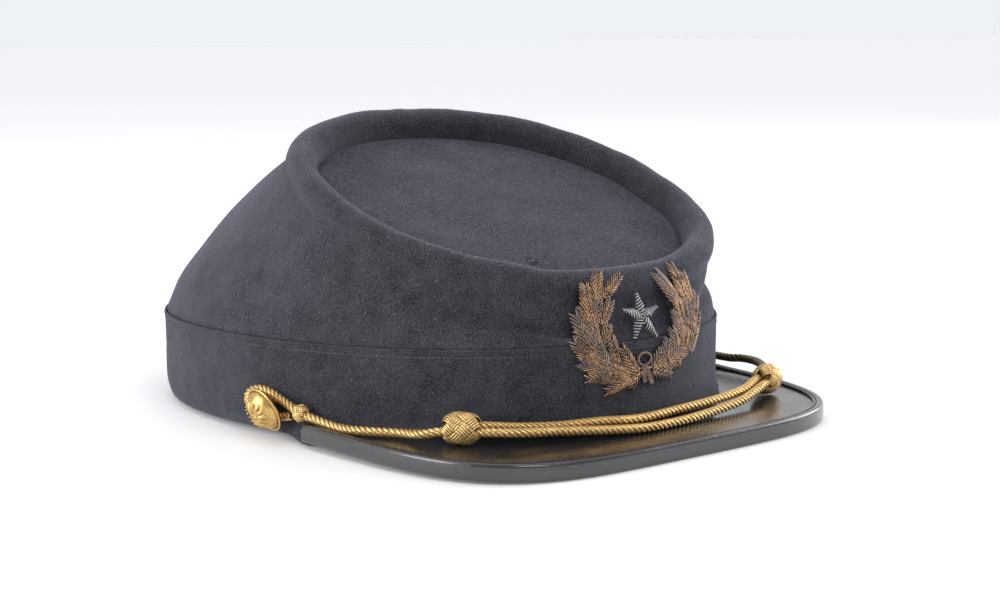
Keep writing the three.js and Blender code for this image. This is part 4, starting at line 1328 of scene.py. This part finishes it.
def make_peak():
    """The lacquered plate, its folded binding and the stitches that hold it."""
    edge, outward = peak_stations()
    angle = np.arctan2(edge[:, 0] / PEAK_HALF_WIDTH, -edge[:, 1] / PEAK_REACH)
    limit = math.radians(PEAK_REAR_DEGREES)
    inner = band_point(np.clip(angle, -limit, limit), 0.0, PEAK_GAP)
    outer = edge - outward * PLATE_INSET
    rows = []
    for share, level in ([(s, LACQUER_TOP) for s in np.linspace(0, 1, 26)]
                         + [(s, PLATE_FLOOR) for s in np.linspace(1, 0, 14)]):
        plan = inner[:, :2] * (1 - share) + outer * share
        place = points(plan[:, 0], plan[:, 1], peak_floor(plan[:, 0], plan[:, 1]) + level)
        swell = unevenness(place, LEATHER_WAVES) * (level == LACQUER_TOP)
        place[:, 2] += swell * math.sin(math.pi * min(share, 0.999))
        rows.append(place)
    settle_grid("peak_leather", np.stack(rows, axis=1), leather_material(), "leather", "peak")
    profile = ((BINDING_WIDTH, PLATE_FLOOR - 0.0001), (BINDING_WIDTH, 0.0003), (0.0026, 0.0),
               (0.0008, 0.0), (0.0003, 0.00012), (0.00006, 0.0005), (0.0, 0.0011),
               (0.0, 0.0025), (0.0, 0.0040), (0.00008, 0.0045), (0.0003, 0.0049),
               (0.0007, BINDING_TOP), (0.0013, BINDING_TOP), (0.0018, BINDING_TOP - 0.00008),
               (0.0022, BINDING_TOP - 0.0003), (0.0026, BINDING_TOP - 0.00012),
               (0.0029, BINDING_TOP - 0.00012), (BINDING_WIDTH + 0.0001, BINDING_TOP - 0.0003),
               (BINDING_WIDTH + 0.0001, PLATE_TOP + 0.0005), (0.0011, PLATE_TOP + 0.0005),
               (0.0011, PLATE_FLOOR - 0.0001))
    rows = []
    for inward, height in profile:
        place = in_plan(edge, outward, inward, height)
        rows.append(place + points(outward[:, 0], outward[:, 1], 0)
                    * (unevenness(place, BINDING_WAVES) * (inward < MM))[:, None])
    material = leather_material("Bound Leather", cracks=0.3, dullness=0.28, grain=(1.5, 1.5, 0.12),
                                relief=0.00022)
    settle_grid("binding_leather", np.stack(rows, axis=1), material, "leather", "peak_binding")
    maker = MeshMaker()
    line = in_plan(edge, outward, BINDING_STITCH_INSET, BINDING_TOP - 0.0002)[4:-4]
    upward = np.tile((0.0, 0.0, 1.0), (len(line), 1))
    stitch_row(maker, line, upward, BINDING_STITCH_PITCH, BINDING_STITCH_WIDTH, 41, False)
    settle(maker.make("binding_stitches", thread_material("Waxed Thread", (0.012, 0.011, 0.011, 1))),
           "leather")


STITCH_SLANT = math.radians(31)
COILS_APART = 1.24


def on_front(flat, lift):
    """Points of the embroidery, from millimetres sideways and up, and the way they face."""
    flat = np.asarray(flat) * MM
    return front_point(flat[:, 0], flat[:, 1], np.broadcast_to(lift, len(flat)))


def lay_wire(maker, flat, lift, width, height, tone, sides=6):
    """A wire laid on the front, along points in millimetres."""
    place, facing = on_front(flat, lift)
    maker.add_tube(place, facing, width, height, sides, tone)


def leaf_pad(maker, root, ahead, aside, length, width, layer):
    """The padding under a leaf's stitches."""
    steps, turns = np.linspace(0.02, 0.97, 12), round_turns(10)
    rows = []
    for step in steps:
        half = 0.40 * width * math.sin(math.pi * step ** 0.8)
        middle = root + ahead * (length * step)
        flat = middle + aside * (half * np.cos(turns))[:, None]
        lift = (layer + 0.35 + 0.38 * np.sin(turns) * (half / (0.4 * width))) * MM
        rows.append(on_front(flat, lift)[0])
    maker.add_grid(np.array(rows), False, True, 1.0, caps=True)


def leaf(maker, row, layer, random):
    """One embroidered leaf: long slanted stitches on both sides of a thick midrib."""
    root, tip, width = np.array(row[:2]), np.array(row[2:4]), row[4]
    length = float(np.linalg.norm(tip - root))
    ahead = (tip - root) / length
    aside = np.array((ahead[1], -ahead[0]))
    leaf_pad(maker, root, ahead, aside, length, width, layer)
    coil = sizes().bullion_width / MM
    pitch = COILS_APART * coil / math.sin(STITCH_SLANT)
    age_and_shade = random.uniform(0.05, 0.7)
    for side in (-1, 1):
        start = -0.10 * length
        while start < 0.93 * length:
            begin = max(start, 0.02 * length)
            share = start / length
            half = 0.5 * width * (1 - max(0, share - 0.25) ** 1.6 * 0.75)
            reach = half / math.tan(STITCH_SLANT)
            reach = min(reach, 1.06 * length - start)
            steps = np.linspace(0, 1, 6)
            along = start + reach * steps
            out = side * (0.10 + (half - 0.10) * steps * reach * math.tan(STITCH_SLANT) / half)
            keep = along >= begin - 0.3
            if keep.sum() > 2:
                flat = root + ahead * along[keep, None] + aside * out[keep, None]
                arch = np.sin(np.pi * (0.32 + 0.66 * steps[keep]))
                lift = (layer + 0.45 + 0.62 * arch + random.uniform(-0.04, 0.04)) * MM
                tone = age_and_shade + random.uniform(-0.4, 0.4) + 0.6 * max(0, share - 0.25)
                thick = coil * MM * random.uniform(0.78, 0.94)
                lay_wire(maker, flat, lift, thick, 1.35 * thick, float(np.clip(tone, 0, 1)))
            start += pitch * random.uniform(0.9, 1.1)
    steps = np.linspace(0.04, 0.90, 12)
    bend = 0.12 * np.sin(np.pi * steps) * random.uniform(-1, 1)
    flat = root + ahead * (length * steps)[:, None] + aside * bend[:, None]
    lift = (layer + 1.12 - 0.35 * steps) * MM
    size = (0.62 - 0.25 * steps) * MM
    lay_wire(maker, flat, lift, size, size * 0.8, float(np.clip(age_and_shade + 0.3, 0, 1)), sides=7)


def inner_leaves():
    """Leaves along the middle of each branch, under the others."""
    rows = []
    for branch in BRANCHES:
        line = resampled(catmull_rom(branch), LEAF_SPACING)[0]
        for i in range(len(line) - 2):
            ahead = unit(line[i + 1] - line[i])
            aside = np.array((ahead[1], -ahead[0]))
            root, lean = line[i], INNER_LEAF_LEAN * (-1) ** i
            tip = root + INNER_LEAF_LENGTH * (ahead * math.cos(lean) + aside * math.sin(lean))
            rows.append((*root, *tip, INNER_LEAF_WIDTH))
    return rows


def make_wreath():
    """Two branches of embroidered leaves that meet under a tied bow."""
    random = np.random.default_rng(SEED)
    maker = MeshMaker()
    for row in inner_leaves():
        leaf(maker, row, 0.0, random)
    for number, row in enumerate(LEAVES):
        leaf(maker, (*row[:4], row[4] * LEAF_FULLNESS), 0.2 + 0.16 * (number % 3), random)
    bow(maker)
    # The near-black dull colour darkens the sides of each stitch: painted shade. The grey aged colour is
    # the real greying of the leaves' tips.
    material = wire_material(
        "Gold Bullion", (0.86, 0.50, 0.25, 1), (0.022, 0.013, 0.010, 1),
        age_and_shade=(0.20, 0.178, 0.185, 1), tarnish=0.95, groove_shade=1.0, ageing_and_shade=0.85, coils=14000.0,
        relief=0.00004, crown=0.86)
    settle(maker.make("wreath_embroidery", material), "gold_bullion", "wreath")


def bow(maker):
    """The ring of the bow, its knot and its two tails, of twisted wire."""
    turn = np.linspace(0, 2 * np.pi, 80)
    for phase in (0, math.pi):
        reach = 0.24 * np.cos(9 * turn + phase)
        ring = np.stack((BOW[0] + (2.1 + reach) * np.sin(turn),
                         BOW[1] + (BOW_RADIUS + reach) * np.cos(turn)), axis=1)
        lift = (1.4 + 0.24 * np.sin(9 * turn + phase)) * MM
        lay_wire(maker, ring, lift, BOW_WIRE * MM, BOW_WIRE * MM, 0.6)
    for route in (*BOW_TAILS, ((-3.3, -8.0), (-1.6, -7.6), (0.3, -8.4))):
        route = np.array(route)
        steps = np.linspace(0, 1, 26)
        share = np.linspace(0, 1, len(route))
        flat = sampled(steps, share, route)
        for shift in (-0.42, 0.0, 0.42):
            lay_wire(maker, flat + (shift, 0.3 * shift), 1.5 * MM, BOW_WIRE * MM, BOW_WIRE * MM,
                     0.3 + abs(shift))


def make_star():
    """A padded star of silver wire, each arm sewn like a leaf with slanted stitches."""
    random = np.random.default_rng(SEED + 1)
    maker = MeshMaker()
    waist = STAR_WAIST * STAR_RADIUS
    waist_along, waist_aside = waist * math.cos(math.pi / 5), waist * math.sin(math.pi / 5)
    coil, slant = 1.15 * sizes().bullion_width / MM, 0.55
    for arm in range(5):
        heading = 2 * math.pi * arm / 5 + 0.02
        ahead = np.array((math.sin(heading), math.cos(heading)))
        aside = np.array((math.cos(heading), -math.sin(heading)))
        at = 0.5
        while at < STAR_RADIUS - 0.1:
            if at < waist_along:
                half = at * waist_aside / waist_along
            else:
                half = waist_aside * (STAR_RADIUS - at) / (STAR_RADIUS - waist_along)
            half = max(half, 0.30)
            across = np.linspace(-1, 1, 8)
            flat = (STAR_CENTRE + ahead * (at + slant * half * across)[:, None]
                    + aside * (half * across)[:, None])
            lift = (1.25 - 0.35 * at / STAR_RADIUS) * np.sqrt(1 - 0.88 * across ** 2) + 0.30
            thick = coil * MM * random.uniform(0.9, 1.0)
            lay_wire(maker, flat, lift * MM, thick, 1.2 * thick, random.uniform(0.0, 0.7))
            at += COILS_APART * coil
    star_pad(maker, waist)
    # The near-black dull colour darkens the sides of each stitch: painted shade
    material = wire_material(
        "Silver Bullion", colours().silver, (0.030, 0.029, 0.030, 1), age_and_shade=(0.16, 0.155, 0.16, 1),
        tarnish=0.6, groove_shade=0.98, ageing_and_shade=0.7, coils=14000.0, relief=0.00004)
    settle(maker.make("star_embroidery", material), "silver_bullion", "star")


def star_pad(maker, waist):
    """The padding under the star's stitches."""
    turns = np.arange(10) * math.pi / 5
    reach = np.where(np.arange(10) % 2 == 0, STAR_RADIUS * 0.88, waist * 0.88)
    rows = []
    for size, lift in ((0.05, 0.2), (1.0, 0.2), (1.0, 0.4), (0.5, 0.75), (0.05, 0.9)):
        flat = STAR_CENTRE + np.stack((np.sin(turns), np.cos(turns)), 1) * (reach * size)[:, None]
        rows.append(on_front(flat, lift * MM)[0])
    maker.add_grid(np.array(rows), False, True, 1.0, caps=True)


# How much of the lint lies on each surface
LINT_SHARES = {"side": 0.36, "roll": 0.30, "top": 0.20, "band": 0.14}
LINT_SHORTEST = 0.0002
LINT_SPREAD = 0.0004
LINT_LONGEST = 0.0022
MOTH_HOLE_FIBRES = 7


def make_lint():
    """Short pale fibres caught on the nap."""
    random = np.random.default_rng(SEED + 2)
    maker = MeshMaker()
    middle, normal = top_plane()
    for _ in range(sizes().lint_count):
        kind = random.choice(list(LINT_SHARES), p=list(LINT_SHARES.values()))
        angle = np.array([[random.uniform(-np.pi, np.pi)]])
        share = random.uniform(0.03, 0.97)
        if kind == "side":
            place = side_point(angle, np.array([[share]]))[0, 0]
            ahead = side_point(angle + 0.01, np.array([[share]]))[0, 0] - place
            above = side_point(angle, np.array([[share + 0.02]]))[0, 0] - place
        elif kind == "roll":
            turn = np.radians(random.choice((random.uniform(0, 170), random.normal(88, 9))))
            place = roll_point(angle, np.array([[turn]]), ROLL_RADIUS)[0, 0]
            ahead = roll_point(angle + 0.01, np.array([[turn]]), ROLL_RADIUS)[0, 0] - place
            above = roll_point(angle, np.array([[turn + 0.1]]), ROLL_RADIUS)[0, 0] - place
        elif kind == "top":
            edge = rim_point(angle, -ROLL_RADIUS - MM, 0.0)[0, 0]
            place = middle + (edge - middle) * math.sqrt(share) + normal * (-TOP_DEPTH - 0.0002)
            ahead, above = np.array((1.0, 0, 0)), np.cross(normal, (1.0, 0, 0))
        else:
            place = band_point(angle, share * BAND_HEIGHT)[0, 0]
            ahead = band_point(angle + 0.01, share * BAND_HEIGHT)[0, 0] - place
            above = np.array((0, 0, 1.0))
        ahead, above = unit(ahead), unit(above)
        outward = unit(np.cross(ahead, above))
        heading = random.uniform(0, 2 * np.pi)
        length = min(LINT_SHORTEST + random.exponential(LINT_SPREAD), LINT_LONGEST)
        curl = random.uniform(-1.6, 1.6)
        steps = np.linspace(0, 1, 5)
        bend = heading + curl * steps
        run = np.cumsum(np.stack((np.cos(bend), np.sin(bend)), 1), axis=0) * length / 5
        line = (place + ahead * run[:, :1] + above * run[:, 1:]
                + outward * (0.0001 + 0.00012 * np.sin(np.pi * steps))[:, None])
        maker.add_tube(line, np.tile(outward, (5, 1)), random.uniform(0.00003, 0.00007), sides=3,
                       tone=random.uniform(0, 1))
    for _ in range(MOTH_HOLE_FIBRES):
        spread = random.normal(0, 0.0006, 3) + (-0.0012, -0.001, 0)
        place = MOTH_HOLE + spread - normal * (np.dot(spread, normal) - 0.0003)
        heading = random.normal(0, 1, 3) * (1, 1, 0.5)
        steps = np.linspace(-1, 1, 5)[:, None]
        line = place + unit(heading) * steps * 0.0006 + normal * (1 - steps ** 2) * 0.0004
        maker.add_tube(line, np.tile(normal, (5, 1)), 0.00008, sides=3, tone=1.0)
    material, tree, shader = new_material("Lint Fibre", Roughness=0.8, Sheen_Weight=0.3)
    tone = add_node(tree, "ShaderNodeAttribute", attribute_name="tone").outputs["Fac"]
    tint = mixed(tree, tone, (0.10, 0.095, 0.09, 1), (0.46, 0.43, 0.37, 1))
    feed(tree, shader, Base_Color=tint)
    bumped(tree, shader, noise(tree, object_place(tree), 4000, 2, 0.5), 0.3, 0.00003)
    settle(maker.make("lint_fibres", material), "cloth")


class KEPI_OT_stage(bpy.types.Operator):
    """Make the camera, the pale floor and the soft lights"""
    bl_idname = "kepi.stage"
    bl_label = "Make Stage"
    bl_options = {"REGISTER", "UNDO"}

    def execute(self, context):
        make_stage()
        return {"FINISHED"}


class KEPI_OT_chin_cord(bpy.types.Operator):
    """Make both runs of the twisted gold chin cord"""
    bl_idname = "kepi.chin_cord"
    bl_label = "Make Chin Cord"
    bl_options = {"REGISTER", "UNDO"}

    def execute(self, context):
        make_cord("right", CORD_ROUTE_RIGHT)
        make_cord("left", CORD_ROUTE_LEFT)
        return {"FINISHED"}


class KEPI_OT_knots(bpy.types.Operator):
    """Make the woven slides and keepers of the chin cord"""
    bl_idname = "kepi.knots"
    bl_label = "Make Slides and Keepers"
    bl_options = {"REGISTER", "UNDO"}

    def execute(self, context):
        make_knots()
        return {"FINISHED"}


class KEPI_OT_buttons(bpy.types.Operator):
    """Make the two gilt side buttons"""
    bl_idname = "kepi.buttons"
    bl_label = "Make Buttons"
    bl_options = {"REGISTER", "UNDO"}

    def execute(self, context):
        make_buttons()
        return {"FINISHED"}


class KEPI_OT_crown(bpy.types.Operator):
    """Make the cloth crown with its rolled rim and sunken top"""
    bl_idname = "kepi.crown"
    bl_label = "Make Crown"
    bl_options = {"REGISTER", "UNDO"}

    def execute(self, context):
        make_crown()
        make_crown_top()
        return {"FINISHED"}


class KEPI_OT_band(bpy.types.Operator):
    """Make the cloth band and its topstitching"""
    bl_idname = "kepi.band"
    bl_label = "Make Band"
    bl_options = {"REGISTER", "UNDO"}

    def execute(self, context):
        make_band()
        make_band_stitches()
        return {"FINISHED"}


class KEPI_OT_peak(bpy.types.Operator):
    """Make the lacquered peak, its binding and the stitches of the binding"""
    bl_idname = "kepi.peak"
    bl_label = "Make Peak"
    bl_options = {"REGISTER", "UNDO"}

    def execute(self, context):
        make_peak()
        return {"FINISHED"}


class KEPI_OT_embroidery(bpy.types.Operator):
    """Make the gold wreath and the silver star inside it"""
    bl_idname = "kepi.embroidery"
    bl_label = "Make Wreath and Star"
    bl_options = {"REGISTER", "UNDO"}

    def execute(self, context):
        make_wreath()
        make_star()
        return {"FINISHED"}


class KEPI_OT_lint(bpy.types.Operator):
    """Make the pale fibres that lie on the cloth"""
    bl_idname = "kepi.lint"
    bl_label = "Make Lint"
    bl_options = {"REGISTER", "UNDO"}

    def execute(self, context):
        make_lint()
        return {"FINISHED"}


class KEPI_PT_panel(bpy.types.Panel):
    """The kepi's sizes, colours and makers"""
    bl_idname = "KEPI_PT_panel"
    bl_label = "Kepi Cap"
    bl_space_type = "VIEW_3D"
    bl_region_type = "UI"
    bl_category = "Kepi"

    def draw(self, context):
        layout = self.layout
        for group in (context.scene.kepi_sizes, context.scene.kepi_colours):
            box = layout.box()
            for name in group.__annotations__:
                box.prop(group, name)
        for maker in MAKERS:
            layout.operator(maker.bl_idname)


MAKERS = (
    KEPI_OT_stage, KEPI_OT_knots, KEPI_OT_chin_cord, KEPI_OT_buttons, KEPI_OT_crown,
    KEPI_OT_band, KEPI_OT_peak, KEPI_OT_embroidery, KEPI_OT_lint,
)
CLASSES = (KepiSizes, KepiColours, *MAKERS, KEPI_PT_panel)


def register():
    for item in CLASSES:
        bpy.utils.register_class(item)
    bpy.types.Scene.kepi_sizes = PointerProperty(type=KepiSizes)
    bpy.types.Scene.kepi_colours = PointerProperty(type=KepiColours)


def unregister():
    del bpy.types.Scene.kepi_colours
    del bpy.types.Scene.kepi_sizes
    for item in reversed(CLASSES):
        bpy.utils.unregister_class(item)


def main():
    register()
    bpy.ops.kepi.stage()
    bpy.ops.kepi.knots()
    bpy.ops.kepi.chin_cord()
    bpy.ops.kepi.buttons()
    bpy.ops.kepi.crown()
    bpy.ops.kepi.band()
    bpy.ops.kepi.peak()
    bpy.ops.kepi.embroidery()
    bpy.ops.kepi.lint()
    bpy.context.view_layer.update()


if __name__ == "__main__":
    main()
